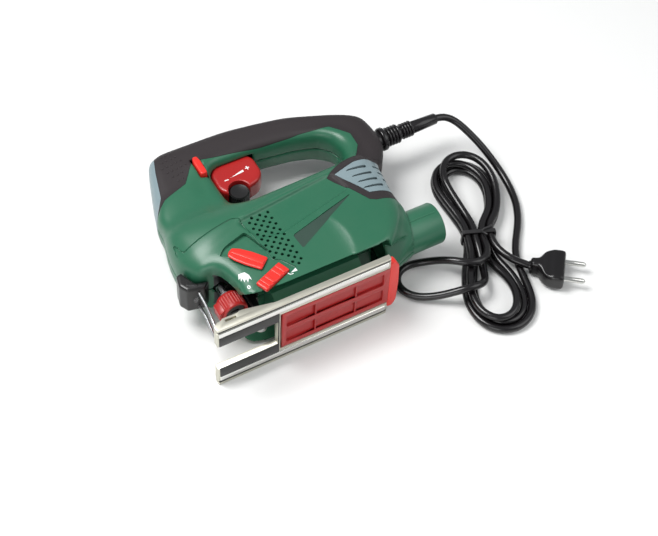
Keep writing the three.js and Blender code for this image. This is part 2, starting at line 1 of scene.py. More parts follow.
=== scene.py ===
# %% [markdown]
# # A corded jigsaw, lying on its right side
# The tool rests on the side of its motor housing. +X runs from the nose to the cord, +Y from
# the sole to the handle, and +Z up to the tool's left side. The mechanical model is loaded
# first as a fixed frame: it says where each piece is and how it moves. This script gives the
# pieces their real surfaces: soft moulded shells, rubber, bright steel and a wound cord.

# %% Load the frame
import math

import bpy
import numpy as np
from mathutils import Matrix, Vector


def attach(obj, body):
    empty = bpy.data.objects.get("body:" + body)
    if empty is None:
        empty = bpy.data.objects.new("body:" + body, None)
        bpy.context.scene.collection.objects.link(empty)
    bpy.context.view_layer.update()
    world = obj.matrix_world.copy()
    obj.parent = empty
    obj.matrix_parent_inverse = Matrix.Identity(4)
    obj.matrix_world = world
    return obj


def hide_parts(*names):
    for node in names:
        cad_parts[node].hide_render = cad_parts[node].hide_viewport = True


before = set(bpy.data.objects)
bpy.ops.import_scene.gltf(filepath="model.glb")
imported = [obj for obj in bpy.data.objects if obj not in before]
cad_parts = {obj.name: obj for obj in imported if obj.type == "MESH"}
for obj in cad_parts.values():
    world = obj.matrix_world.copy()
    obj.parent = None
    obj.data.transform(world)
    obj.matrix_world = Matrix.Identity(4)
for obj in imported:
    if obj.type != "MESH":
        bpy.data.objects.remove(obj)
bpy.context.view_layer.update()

# %% [markdown]
# ## The camera
# The tool is seen from above the sole's side, a little from the front, through a long lens
# that keeps its sides almost parallel. The camera circles an aim point on the tool's middle
# plane: azimuth, elevation and a small roll turn it, and the distance sets its size.

# %% Camera
AZIMUTH, ELEVATION, ROLL = math.radians(-31.9), math.radians(51.58), math.radians(-3.3)
DISTANCE = 1.3499
AIM_RIGHT, AIM_UP = 0.0389, -0.0451


def place_camera():
    back = Vector((math.sin(AZIMUTH) * math.cos(ELEVATION),
                   -math.cos(AZIMUTH) * math.cos(ELEVATION), math.sin(ELEVATION)))
    level = (-back).cross(Vector((0, 0, 1))).normalized()
    over = level.cross(-back)
    right = level * math.cos(ROLL) - over * math.sin(ROLL)
    up = level * math.sin(ROLL) + over * math.cos(ROLL)
    data = bpy.data.cameras.new("camera")
    data.lens, data.sensor_width = 83.5, 36
    data.clip_start, data.clip_end = 0.05, 20
    camera = bpy.data.objects.new("camera", data)
    bpy.context.collection.objects.link(camera)
    camera.location = Vector((0, 0, 0.038)) + back * DISTANCE + right * AIM_RIGHT + up * AIM_UP
    camera.rotation_euler = Matrix((right, up, back)).transposed().to_euler()
    bpy.context.scene.camera = camera
    return camera


print("camera at", [round(v, 3) for v in place_camera().location])

# %% [markdown]
# ## The cord's route
# The mains lead is about 7 mm thick. It leaves a bellows sleeve behind the handle, drops to
# the table in one arc, and then is wound into a hank that a tie pinches at its waist. One
# strand escapes from the waist to the left and comes back. The last strand ends in the plug.
# A cord is easiest to shape as the points that a hand would lead it through, in millimetres,
# and the computer then draws one smooth line through them. Strands that share a layer keep a
# diameter apart, and a strand that crosses others climbs over them in a long hump.

# %% Points of the route
CORD_RADIUS = 3.5
LEAD = [(182.8, 41.5, 38), (190, 41.4, 37.6), (199, 36, 34), (207, 21, 27), (213, 6, 19.5),
        (217, -10, 12), (218.5, -26, 6.5), (216.5, -44, 4), (210.5, -62, 3.8), (200, -80, 3.8),
        (187, -96, 3.8), (177, -111, 3.8), (171.5, -127, 3.8)]
UPPER_LOBE = [(150.5, -62), (151.3, -45), (151.3, -28), (153, -11), (160, 2), (171, 9.8),
              (184, 10.5), (196, 4), (203, -9), (204, -27), (197.5, -46), (186, -63)]
LOWER_LOBE = [(167, -102), (169, -123), (167.5, -144), (160.5, -163), (147, -176),
              (130, -178.5), (115.5, -170.5), (108.5, -154.5), (110.5, -134), (122, -112.5),
              (135, -94)]
SIDE_LOOP = [(153.2, -99.5, 14), (147, -107, 16), (137, -111, 17.8), (126.5, -107.5, 18.6),
             (118.5, -100, 18), (111, -91, 13.6), (103, -83.5, 8.5), (93.5, -77.5, 4.6),
             (82, -75, 3.8), (71, -79.5, 3.8), (65, -89.5, 3.8), (66.5, -101, 3.8),
             (73, -109.5, 3.9), (81, -115.5, 6), (90, -121, 9), (99, -126, 13.5),
             (107.5, -130, 17.6), (116, -132.5, 18.8), (124.5, -132, 17), (132, -128, 12),
             (137, -121, 7.5), (140.8, -113, 5.6), (143.8, -105, 7), (146, -98, 10.4)]
TO_PLUG = [(162, -98, 12.1), (163, -106, 12), (165.5, -114, 11.8), (170.5, -122.5, 11.4),
           (178.3, -129.8, 9.6)]
WAIST, WAIST_TURN = np.array((156.0, -80.0)), math.radians(-21.8)
COLUMN, LAYER = 7.2, 7.15

# %% Strands of the hank


def ease(t):
    """0 to 1 with a soft start and stop."""
    t = np.clip(t, 0, 1)
    return t * t * (3 - 2 * t)


def inward(points, distance):
    """The same open run of points, each moved to the right of the way it goes."""
    p = np.array(points, float)
    way = np.gradient(p, axis=0)
    way /= np.linalg.norm(way, axis=1)[:, None]
    return p + np.stack([way[:, 1], -way[:, 0]], axis=1) * np.asarray(distance)[..., None]


def lobe(points, start, end, low, high, hump=0.0):
    """One arc of the hank: its inset and height change on the way, with a hump at the middle."""
    t = np.linspace(0, 1, len(points))
    flat = inward(points, start + (end - start) * ease((t - 0.3) / 0.4))
    height = low + (high - low) * ease(t / 0.3) + hump * ease(t / 0.3) * ease((1 - t) / 0.3)
    return np.column_stack([flat, height])


def waist(side, column, layer):
    """Straight through the tie: up on the left (-1) or down on the right (1)."""
    u = side * (1.5 - column) * COLUMN
    across = np.array((math.cos(WAIST_TURN), math.sin(WAIST_TURN)))
    along = np.array((-across[1], across[0]))
    flat = [WAIST + across * u + along * v * -side for v in (-9, 0, 9)]
    return np.column_stack([flat, [5.3 + LAYER * layer] * 3])


FLOOR, SECOND = 3.8, 3.8 + LAYER
route = np.vstack([
    LEAD,
    lobe(LOWER_LOBE, 0, 0, FLOOR, FLOOR)[2:], waist(-1, 0, 0),
    lobe(UPPER_LOBE, 0, 0, FLOOR, FLOOR), waist(1, 0, 0),
    lobe(LOWER_LOBE, 7.4, 7.4, FLOOR, FLOOR), waist(-1, 1, 0),
    lobe(UPPER_LOBE, 7.4, 7.4, FLOOR, FLOOR), waist(1, 1, 0),
    lobe(LOWER_LOBE, 14.8, 3.6, FLOOR, SECOND),
    waist(-1, 0, 1),
    lobe(UPPER_LOBE, 0, 7.4, SECOND, SECOND), waist(1, 1, 1),
    SIDE_LOOP, waist(-1, 1, 1),
    lobe(UPPER_LOBE, 7.4, 0, SECOND, SECOND, 7.3), waist(1, 0, 1),
    TO_PLUG,
])
print("points on the route:", len(route))

# %% One smooth line through them


def smooth_line(points, step, rounds=12):
    """A centripetal Catmull-Rom line through the points, evenly spaced, then relaxed."""
    p = np.vstack([2 * points[0] - points[1], points, 2 * points[-1] - points[-2]])
    dense = []
    for a, b, c, d in zip(p, p[1:], p[2:], p[3:]):
        ta, tb, tc = (np.sqrt(np.linalg.norm(v)) for v in (b - a, c - b, d - c))
        m1 = (b - a) / ta - (c - a) / (ta + tb) + (c - b) / tb
        m2 = (c - b) / tb - (d - b) / (tb + tc) + (d - c) / tc
        t = np.linspace(0, 1, 12, endpoint=False)[:, None]
        dense.append((2 * t**3 - 3 * t**2 + 1) * b + (t**3 - 2 * t**2 + t) * m1 * tb
                     + (3 * t**2 - 2 * t**3) * c + (t**3 - t**2) * m2 * tb)
    line = np.vstack([*dense, points[-1:]])
    for last in (False, True):
        gone = np.concatenate([[0], np.cumsum(np.linalg.norm(np.diff(line, axis=0), axis=1))])
        even = np.linspace(0, gone[-1], int(gone[-1] / step) + 1)
        line = np.column_stack([np.interp(even, gone, line[:, i]) for i in range(3)])
        for _ in range(0 if last else rounds):
            line[1:-1] += 0.5 * ((line[:-2] + line[2:]) / 2 - line[1:-1])
    return line


def bend_and_gap(line, step):
    """The tightest radius on the line, and how near it comes to another part of itself."""
    span = 4
    a, b, c = line[:-2 * span], line[span:-span], line[2 * span:]
    area = np.linalg.norm(np.cross(b - a, c - a), axis=1)
    sides = [np.linalg.norm(v, axis=1) for v in (b - a, c - b, c - a)]
    radius = sides[0] * sides[1] * sides[2] / np.maximum(2 * area, 1e-9)
    apart = int(25 / step)
    nearest, where = math.inf, None
    for i in range(len(line) - apart):
        away = np.linalg.norm(line[i + apart:] - line[i], axis=1)
        if away.min() < nearest:
            other = line[i + apart + away.argmin()]
            nearest, where = away.min(), (line[i].round(1), other.round(1))
    return radius.min(), b[radius.argmin()].round(1), nearest, where


STEP = 2.5
cord_line = smooth_line(route, STEP)
CORD_LENGTH = float(np.linalg.norm(np.diff(cord_line, axis=0), axis=1).sum()) / 1000
print("cord length:", round(CORD_LENGTH, 3), "m; tightest bend and nearest strands:",
      bend_and_gap(cord_line, STEP))

# %% [markdown]
# ## Shader groups that the finishes share
# Moulded plastic has a fine spark-eroded grain, handling wears its edges, and a thin film of
# dust lies on it in patches. Each of these effects is one node group, made once, and every
# material sets its own values on it. The groups only put out colours, masks and normals. The
# pattern is read from Object coordinates, because every piece keeps its place in its mesh.

# %% A small way to build node trees


def group(name, inputs, outputs, tree_type="ShaderNodeTree"):
    """An empty node group with its sockets, its input node and its output node."""
    tree = bpy.data.node_groups.new(name, tree_type)
    for label, kind, value in inputs:
        socket = tree.interface.new_socket(label, in_out="INPUT", socket_type=kind)
        if value is not None:
            socket.default_value = value
    for label, kind in outputs:
        tree.interface.new_socket(label, in_out="OUTPUT", socket_type=kind)
    return tree, tree.nodes.new("NodeGroupInput"), tree.nodes.new("NodeGroupOutput")


def node(tree, kind, links=None, **settings):
    """A new node with its settings, and its inputs set to values or joined to other sockets."""
    made = tree.nodes.new(kind)
    for key, value in settings.items():
        setattr(made, key, value)
    for key, value in (links or {}).items():
        if isinstance(value, bpy.types.NodeSocket):
            tree.links.new(value, made.inputs[key])
        else:
            made.inputs[key].default_value = value
    return made


def maths(tree, operation, *values, clamp=False):
    """One step of arithmetic on numbers or sockets."""
    return node(tree, "ShaderNodeMath", dict(enumerate(values)), operation=operation,
                use_clamp=clamp).outputs[0]


def mixed_colour(tree, mask, plain, changed):
    """A colour that goes from plain to changed as the mask goes from 0 to 1."""
    return node(tree, "ShaderNodeMix", {0: mask, 6: plain, 7: changed}, data_type="RGBA").outputs[2]


# %% Grain of moulded and rubber surfaces
FLOAT, COLOUR, VECTOR = "NodeSocketFloat", "NodeSocketColor", "NodeSocketVector"


def build_grain():
    tree, given, out = group("fine_grain", [("Scale", FLOAT, 900.0), ("Depth", FLOAT, 0.25)],
                             [("Normal", VECTOR), ("Mask", FLOAT)])
    place = node(tree, "ShaderNodeTexCoord")
    noise = node(tree, "ShaderNodeTexNoise", {"Vector": place.outputs["Object"],
                 "Scale": given.outputs["Scale"], "Detail": 2.0, "Roughness": 0.6})
    bump = node(tree, "ShaderNodeBump", {"Strength": given.outputs["Depth"], "Distance": 0.0004,
                "Height": noise.outputs["Fac"]})
    tree.links.new(bump.outputs["Normal"], out.inputs["Normal"])
    tree.links.new(noise.outputs["Fac"], out.inputs["Mask"])
    return tree


GRAIN = build_grain()

# %% Handling wear: colour and gloss change along edges and in soft patches


def build_wear():
    tree, given, out = group(
        "handling_wear", [("Colour", COLOUR, (1, 1, 1, 1)), ("Edge Colour", COLOUR, (1, 1, 1, 1)),
                          ("Edge Amount", FLOAT, 0.5), ("Patch Scale", FLOAT, 40.0),
                          ("Roughness", FLOAT, 0.4), ("Roughness Spread", FLOAT, 0.1)],
        [("Colour", COLOUR), ("Roughness", FLOAT), ("Mask", FLOAT)])
    place = node(tree, "ShaderNodeTexCoord")
    edge = node(tree, "ShaderNodeAttribute", attribute_name="edge")
    patches = node(tree, "ShaderNodeTexNoise", {"Vector": place.outputs["Object"],
                   "Scale": given.outputs["Patch Scale"], "Detail": 5.0, "Roughness": 0.65})
    broken = maths(tree, "MULTIPLY", edge.outputs["Fac"], patches.outputs["Fac"])
    mask = maths(tree, "MULTIPLY", broken, given.outputs["Edge Amount"], clamp=True)
    colour = mixed_colour(tree, mask, given.outputs["Colour"], given.outputs["Edge Colour"])
    centred = maths(tree, "SUBTRACT", patches.outputs["Fac"], 0.5)
    spread = maths(tree, "MULTIPLY_ADD", centred, given.outputs["Roughness Spread"],
                   given.outputs["Roughness"], clamp=True)
    for name, socket in (("Colour", colour), ("Roughness", spread), ("Mask", mask)):
        tree.links.new(socket, out.inputs[name])
    return tree


WEAR = build_wear()

# %% Dust: a pale film in soft patches
DUST_COLOUR = (0.55, 0.48, 0.36, 1)


def build_dust():
    tree, given, out = group(
        "sawdust_film", [("Colour", COLOUR, (1, 1, 1, 1)), ("Amount", FLOAT, 0.06),
                         ("Scale", FLOAT, 18.0)], [("Colour", COLOUR), ("Mask", FLOAT)])
    place = node(tree, "ShaderNodeTexCoord")
    cloud = node(tree, "ShaderNodeTexNoise", {"Vector": place.outputs["Object"],
                 "Scale": given.outputs["Scale"], "Detail": 8.0, "Roughness": 0.75})
    mask = maths(tree, "MULTIPLY", cloud.outputs["Fac"], given.outputs["Amount"], clamp=True)
    colour = mixed_colour(tree, mask, given.outputs["Colour"], DUST_COLOUR)
    tree.links.new(colour, out.inputs["Colour"])
    tree.links.new(mask, out.inputs["Mask"])
    return tree


DUST = build_dust()

# %% [markdown]
# ## Finishes
# Most pieces are one of three kinds: grained plastic or rubber, plain metal, and metal that a
# tool has brushed along its length. One function makes each kind, and each finish then says
# its own colour, gloss, grain and wear. The colours are scene-linear, and a small helper turns
# the familiar 0 to 255 values into them.

# %% Plastics and rubbers
GLOSS_SPREAD = 0.12


def linear(r, g, b):
    return tuple((c / 255 / 12.92) if c <= 10 else ((c / 255 + 0.055) / 1.055) ** 2.4
                 for c in (r, g, b)) + (1.0,)


def use_group(tree, shared, **values):
    made = tree.nodes.new("ShaderNodeGroup")
    made.node_tree = shared
    for key, value in values.items():
        made.inputs[key.replace("_", " ")].default_value = value
    return made


def plastic(name, colour, rough=0.38, grain=900.0, depth=0.2, edge=None, edge_amount=0.5,
            dust=0.05, specular=0.5):
    """A grained moulding. Its worn edges are a little paler, unless a colour is given for them."""
    material = bpy.data.materials.new(name)
    material.use_nodes = True
    tree = material.node_tree
    shader = tree.nodes["Principled BSDF"]
    worn = edge or tuple(min(1, c * 1.6 + 0.01) for c in colour[:3]) + (1.0,)
    wear = use_group(tree, WEAR, Colour=colour, Edge_Colour=worn, Edge_Amount=edge_amount,
                     Roughness=rough, Roughness_Spread=GLOSS_SPREAD)
    film = use_group(tree, DUST, Amount=dust)
    surface = use_group(tree, GRAIN, Scale=grain, Depth=depth)
    tree.links.new(wear.outputs["Colour"], film.inputs["Colour"])
    tree.links.new(film.outputs["Colour"], shader.inputs["Base Color"])
    tree.links.new(wear.outputs["Roughness"], shader.inputs["Roughness"])
    tree.links.new(surface.outputs["Normal"], shader.inputs["Normal"])
    shader.inputs["Specular IOR Level"].default_value = specular
    material.diffuse_color = colour
    return material


GREEN = plastic("green_moulding", linear(22, 92, 66), rough=0.36, depth=0.16, dust=0.04,
                edge=linear(58, 128, 100), edge_amount=0.4)
LABEL_GREEN = plastic("label_panel", linear(30, 56, 46), rough=0.5, depth=0.1, dust=0.01)
BLACK_GRIP = plastic("soft_black_grip", linear(42, 37, 39), rough=0.58, grain=1400.0, depth=0.35,
                     edge_amount=0.3, dust=0.006, specular=0.3)
BLACK_PLASTIC = plastic("black_plastic", linear(20, 20, 21), rough=0.32, depth=0.12, dust=0.005)
GREY = plastic("grey_trim_plastic", linear(118, 136, 142), rough=0.42, depth=0.12, dust=0.05)
RED = plastic("bright_red_plastic", linear(214, 34, 26), rough=0.32, depth=0.1, dust=0.03,
              edge=linear(240, 96, 80), edge_amount=0.6)
DEEP_RED = plastic("deep_red_plastic", linear(158, 12, 16), rough=0.3, depth=0.1, dust=0.03,
                   edge=linear(205, 60, 55), edge_amount=0.5)
WHITE_PRINT = plastic("white_print", linear(225, 228, 226), rough=0.5, depth=0.05, dust=0.02)
CORD_RUBBER = plastic("cord_rubber", linear(15, 13, 15), rough=0.25, grain=700.0, depth=0.1,
                      dust=0.002)
TIE_PLASTIC = plastic("cord_tie_plastic", linear(27, 26, 28), rough=0.42, depth=0.15, dust=0.005)
CIRCUIT = plastic("circuit_board", linear(30, 84, 48), rough=0.4, depth=0.2)
CARBON = plastic("brush_carbon", linear(34, 34, 36), rough=0.6, depth=0.3)
print("plastics:", len(bpy.data.materials))

# %% Metals
METAL_DUST, BRIGHT_EDGE = 0.02, (0.9, 0.9, 0.88, 1)


def metal(name, colour, rough=0.3, stretch=(1, 1, 1), scale=300.0, depth=0.08):
    """Bare metal. A stretch makes the grain run long in one direction, as brushing does."""
    material = bpy.data.materials.new(name)
    material.use_nodes = True
    tree = material.node_tree
    shader = tree.nodes["Principled BSDF"]
    shader.inputs["Metallic"].default_value = 1.0
    wear = use_group(tree, WEAR, Colour=colour, Edge_Colour=BRIGHT_EDGE, Edge_Amount=0.5,
                     Roughness=rough, Roughness_Spread=GLOSS_SPREAD)
    film = use_group(tree, DUST, Amount=METAL_DUST)
    place = node(tree, "ShaderNodeTexCoord")
    turned = node(tree, "ShaderNodeMapping", {"Vector": place.outputs["Object"], "Scale": stretch})
    lines = node(tree, "ShaderNodeTexNoise", {"Vector": turned.outputs["Vector"], "Scale": scale,
                 "Detail": 3.0})
    bump = node(tree, "ShaderNodeBump", {"Strength": depth, "Distance": 0.0003,
                "Height": lines.outputs["Fac"]})
    tree.links.new(wear.outputs["Colour"], film.inputs["Colour"])
    tree.links.new(film.outputs["Colour"], shader.inputs["Base Color"])
    tree.links.new(wear.outputs["Roughness"], shader.inputs["Roughness"])
    tree.links.new(bump.outputs["Normal"], shader.inputs["Normal"])
    material.diffuse_color = colour
    return material


STEEL = metal("turned_steel", linear(176, 178, 180), rough=0.28)
BRIGHT_RAIL = metal("bright_rail_steel", linear(226, 226, 222), rough=0.16, stretch=(0.04, 1, 1),
                    scale=700.0, depth=0.05)
PLATE_STEEL = metal("plate_steel", linear(204, 202, 188), rough=0.42, stretch=(0.08, 1, 1),
                    scale=500.0)
DARK_STEEL = metal("dark_steel", linear(74, 76, 78), rough=0.4)
ALUMINIUM = metal("cast_aluminium", linear(168, 170, 172), rough=0.45, scale=900.0, depth=0.2)
BRASS = metal("brass", linear(196, 160, 88), rough=0.3)
COPPER = metal("copper", linear(196, 112, 66), rough=0.32, stretch=(0.1, 1, 1), scale=900.0)
PLATED = metal("plated_pin", linear(206, 206, 202), rough=0.18)
print("finishes:", len(bpy.data.materials))

# %% A clear lens


def clear_lens():
    material = bpy.data.materials.new("clear_lens")
    material.use_nodes = True
    tree = material.node_tree
    shader = tree.nodes["Principled BSDF"]
    film = use_group(tree, DUST, Colour=(0.93, 0.95, 0.96, 1), Amount=0.1)
    surface = use_group(tree, GRAIN, Scale=500.0, Depth=0.05)
    tree.links.new(film.outputs["Colour"], shader.inputs["Base Color"])
    tree.links.new(surface.outputs["Normal"], shader.inputs["Normal"])
    shader.inputs["Roughness"].default_value = 0.08
    shader.inputs["Transmission Weight"].default_value = 0.9
    return material


LENS = clear_lens()

# %% [markdown]
# ## Workshop helpers for shapes
# The pieces are drawn in bench millimetres: the sole at y = 0, the nose at x = 0 and the right
# side at z = 0. One function moves a finished mesh into the frame, in metres. Straight pieces
# are prisms of an outline, round ones are turned on a lathe, and bent ones are tubes. Booleans
# join and cut them.

# %% From bench millimetres to an object in the frame
BENCH = np.array((121.0, 109.5, 0.0))
MID, WIDTH = 38.0, 76.0


def piece(name, points, faces, bench=True):
    points = np.asarray(points, float)
    mesh = bpy.data.meshes.new(name)
    mesh.from_pydata(((points - BENCH if bench else points) / 1000).tolist(), [],
                     [list(map(int, f)) for f in faces])
    mesh.validate()
    obj = bpy.data.objects.new(name, mesh)
    bpy.context.collection.objects.link(obj)
    return obj


def prism(name, outline, low, high, axis="z", bench=True):
    """An outline pushed along an axis. It is (x, y) for z, (z, y) for x and (x, z) for y."""
    o = np.array(outline, float)
    area = np.sum(o[:, 0] * np.roll(o[:, 1], -1) - np.roll(o[:, 0], -1) * o[:, 1])
    if (area < 0) != (axis != "z"):
        o = o[::-1]
    n = len(o)
    order = {"z": (0, 1, 2), "x": (2, 1, 0), "y": (0, 2, 1)}[axis]
    ends = [np.column_stack([o, np.full(n, h)])[:, order] for h in (low, high)]
    faces = [list(range(n))[::-1], list(range(n, 2 * n))]
    faces += [[i, (i + 1) % n, n + (i + 1) % n, n + i] for i in range(n)]
    return piece(name, np.vstack(ends), faces, bench)


def block(name, x0, x1, y0, y1, z0, z1):
    return prism(name, [(x0, y0), (x1, y0), (x1, y1), (x0, y1)], z0, z1)


def ring_of_points(sides):
    """Points evenly round a circle of radius 1."""
    a = 2 * math.pi * np.arange(sides) / sides
    return np.column_stack([np.cos(a), np.sin(a)])


def lathe(name, profile, centre, axis="x", sides=48):
    """A profile of (along, radius) turned about an axis. It starts and ends on the axis."""
    circle = ring_of_points(sides)
    inner = profile[1:-1]
    order = {"x": (2, 0, 1), "y": (1, 2, 0), "z": (0, 1, 2)}[axis]
    rows = [np.column_stack([circle * r, np.full(sides, a)]) for a, r in inner]
    points = np.vstack([[[0, 0, profile[0][0]]], *rows, [[0, 0, profile[-1][0]]]])
    last = len(points) - 1
    faces = [[0, 1 + (i + 1) % sides, 1 + i] for i in range(sides)]
    for k in range(len(inner) - 1):
        a = 1 + k * sides
        faces += [[a + i, a + (i + 1) % sides, a + sides + (i + 1) % sides, a + sides + i]
                  for i in range(sides)]
    a = 1 + (len(inner) - 1) * sides
    faces += [[last, a + i, a + (i + 1) % sides] for i in range(sides)]
    return piece(name, points[:, order] + np.array(centre, float), faces)


def rod(name, centre, radius, low, high, axis, sides=32):
    """A plain round cutter or shaft. Its centre's value on the axis is taken as zero."""
    return lathe(name, [(low, 0), (low, radius), (high, radius), (high, 0)], centre, axis, sides)


def tube(name, line, radius, sides=12, bench=True):
    """A round bar along a line of points, closed at both ends."""
    line = np.asarray(line, float)
    way = np.gradient(line, axis=0)
    way /= np.linalg.norm(way, axis=1)[:, None]
    side = np.cross(way[0], (0.31, 0.22, 0.92))
    circle = ring_of_points(sides)
    rows = []
    for p, w in zip(line, way):
        side = side - w * side.dot(w)
        side /= np.linalg.norm(side)
        rows.append(p + radius * (circle[:, :1] * side + circle[:, 1:] * np.cross(w, side)))
    n = len(line)
    faces = [[k * sides + i, k * sides + (i + 1) % sides, (k + 1) * sides + (i + 1) % sides,
              (k + 1) * sides + i] for k in range(n - 1) for i in range(sides)]
    faces += [list(range(sides))[::-1], list(range((n - 1) * sides, n * sides))]
    return piece(name, np.vstack(rows), faces, bench)


# %% Joining, cutting and finishing


def combine(obj, others, operation):
    """A boolean with each of the other meshes in turn, which are used up."""
    for other in others:
        modifier = obj.modifiers.new("combine", "BOOLEAN")
        modifier.operation, modifier.solver, modifier.object = operation, "MANIFOLD", other
        bake(obj)
        drop(other)
    return obj


def bake(obj):
    """Replaces an object's mesh by what its modifiers make of it."""
    graph = bpy.context.evaluated_depsgraph_get()
    made = bpy.data.meshes.new_from_object(obj.evaluated_get(graph), depsgraph=graph)
    old, obj.data = obj.data, made
    obj.modifiers.clear()
    bpy.data.meshes.remove(old)
    return obj


def drop(obj):
    mesh = obj.data
    bpy.data.objects.remove(obj)
    bpy.data.meshes.remove(mesh)


def cut(obj, *cutters):
    return combine(obj, cutters, "DIFFERENCE")


def add(obj, *others):
    return combine(obj, others, "UNION")


def keep_in(obj, other):
    return combine(obj, [other], "INTERSECT")


def twin(obj, name):
    made = obj.copy()
    made.data = obj.data.copy()
    made.name = name
    bpy.context.collection.objects.link(made)
    return made


def soften(obj, width=0.4, segments=2, angle=32):
    """Breaks the sharp edges, as a mould or a file does."""
    bevel = obj.modifiers.new("soften", "BEVEL")
    bevel.width, bevel.segments = width / 1000, segments
    bevel.limit_method, bevel.angle_limit = "ANGLE", math.radians(angle)
    bevel.use_clamp_overlap = True
    return bake(obj)


def mark_edges(mesh):
    """Stores in the attribute 'edge' how much each point stands out from its neighbours."""
    count = len(mesh.vertices)
    pairs = np.zeros(len(mesh.edges) * 2, np.int32)
    mesh.edges.foreach_get("vertices", pairs)
    co, no = np.zeros(count * 3, np.float32), np.zeros(count * 3, np.float32)
    mesh.vertices.foreach_get("co", co)
    mesh.vertices.foreach_get("normal", no)
    a, b = pairs.reshape(-1, 2).T
    co, no = co.reshape(-1, 3), no.reshape(-1, 3)
    away = co[b] - co[a]
    away /= np.maximum(np.linalg.norm(away, axis=1), 1e-9)[:, None]
    total, number = np.zeros(count), np.zeros(count)
    for i, turn in ((a, -(away * no[a]).sum(1)), (b, (away * no[b]).sum(1))):
        np.add.at(total, i, turn)
        np.add.at(number, i, 1)
    value = np.clip(total / np.maximum(number, 1) * 2.2, 0, 1).astype(np.float32)
    attribute = mesh.attributes.get("edge") or mesh.attributes.new("edge", "FLOAT", "POINT")
    attribute.data.foreach_set("value", value)


def finish_piece(obj, name, material, body, nodes=(), smooth=38):
    """Names a piece, gives it its finish, and hangs it on its body in the frame."""
    obj.name = obj.data.name = name
    obj.data.materials.clear()
    obj.data.materials.append(material)
    obj.data.polygons.foreach_set("material_index", [0] * len(obj.data.polygons))
    obj.data.shade_smooth()
    obj.data.set_sharp_from_angle(angle=math.radians(smooth))
    mark_edges(obj.data)
    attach(obj, body)
    if nodes:
        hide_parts(*nodes)
    return obj


# %% [markdown]
# ## Geometry Nodes for what repeats
# Perforations, ribs, dimples and screws are one small shape set out many times. Two trees do
# this: one lays copies on a staggered grid, and one lays a copy on each point of a mesh. Both
# end in Realize Instances and Set Material, so the result is a plain mesh.

# %% The two trees
INT, OBJECT, MATERIAL = "NodeSocketInt", "NodeSocketObject", "NodeSocketMaterial"


def close_tree(tree, instances, given, out):
    real = node(tree, "GeometryNodeRealizeInstances", {"Geometry": instances})
    paint = node(tree, "GeometryNodeSetMaterial", {"Geometry": real.outputs[0],
                 "Material": given.outputs["Finish"]})
    tree.links.new(paint.outputs[0], out.inputs["Geometry"])
    return tree


def build_grid_tree():
    tree, given, out = group(
        "staggered_grid", [("Copy", OBJECT, None), ("Columns", INT, 5), ("Rows", INT, 8),
                           ("Column Pitch", FLOAT, 0.005), ("Row Pitch", FLOAT, 0.008),
                           ("Stagger", FLOAT, 0.5), ("Finish", MATERIAL, None)],
        [("Geometry", "NodeSocketGeometry")], "GeometryNodeTree")
    rows = given.outputs["Rows"]
    count = maths(tree, "MULTIPLY", given.outputs["Columns"], rows)
    points = node(tree, "GeometryNodePoints", {"Count": count})
    index = node(tree, "GeometryNodeInputIndex").outputs[0]
    column = maths(tree, "FLOOR", maths(tree, "DIVIDE", index, rows))
    row = maths(tree, "MODULO", index, rows)
    odd = maths(tree, "MODULO", column, 2.0)
    shift = maths(tree, "MULTIPLY_ADD", odd, given.outputs["Stagger"], row)
    x = maths(tree, "MULTIPLY", column, given.outputs["Column Pitch"])
    y = maths(tree, "MULTIPLY", shift, given.outputs["Row Pitch"])
    place = node(tree, "ShaderNodeCombineXYZ", {"X": x, "Y": y})
    moved = node(tree, "GeometryNodeSetPosition", {"Geometry": points.outputs[0],
                 "Position": place.outputs[0]})
    copy = node(tree, "GeometryNodeObjectInfo", {"Object": given.outputs["Copy"]})
    spread = node(tree, "GeometryNodeInstanceOnPoints", {"Points": moved.outputs[0],
                  "Instance": copy.outputs["Geometry"]})
    return close_tree(tree, spread.outputs[0], given, out)


def build_points_tree():
    tree, given, out = group(
        "copy_on_points", [("Geometry", "NodeSocketGeometry", None), ("Copy", OBJECT, None),
                           ("Size", FLOAT, 1.0), ("Finish", MATERIAL, None)],
        [("Geometry", "NodeSocketGeometry")], "GeometryNodeTree")
    copy = node(tree, "GeometryNodeObjectInfo", {"Object": given.outputs["Copy"]})
    turn = node(tree, "GeometryNodeInputNamedAttribute", {"Name": "turn"}, data_type="FLOAT_VECTOR")
    spread = node(tree, "GeometryNodeInstanceOnPoints", {"Points": given.outputs["Geometry"],
                  "Instance": copy.outputs["Geometry"], "Rotation": turn.outputs[0],
                  "Scale": given.outputs["Size"]})
    return close_tree(tree, spread.outputs[0], given, out)


GRID_TREE, POINTS_TREE = build_grid_tree(), build_points_tree()

# %% Setting them to work


def grow(obj, tree, **inputs):
    """Runs a tree on an object, with its inputs given by name, and keeps the plain mesh."""
    modifier = obj.modifiers.new(tree.name, "NODES")
    modifier.node_group = tree
    sockets = {s.name: s.identifier for s in tree.interface.items_tree if s.in_out == "INPUT"}
    for key, value in inputs.items():
        modifier[sockets[key.replace("_", " ")]] = value
    return bake(obj)


def seed_shape(name, obj):
    """Takes a bench shape drawn round the bench's zero point, and centres it on the frame's."""
    obj.data.transform(Matrix.Translation(Vector(BENCH / 1000)))
    obj.name = name
    return obj


def staggered(name, copy, first, columns, rows, pitch, stagger=0.5):
    """A grid of copies whose first stands at a bench point."""
    obj = piece(name, [(0, 0, 0)], [], bench=False)
    grow(obj, GRID_TREE, Copy=copy, Columns=columns, Rows=rows, Column_Pitch=pitch[0] / 1000,
         Row_Pitch=pitch[1] / 1000, Stagger=stagger)
    obj.data.transform(Matrix.Translation(Vector((np.array(first, float) - BENCH) / 1000)))
    return obj


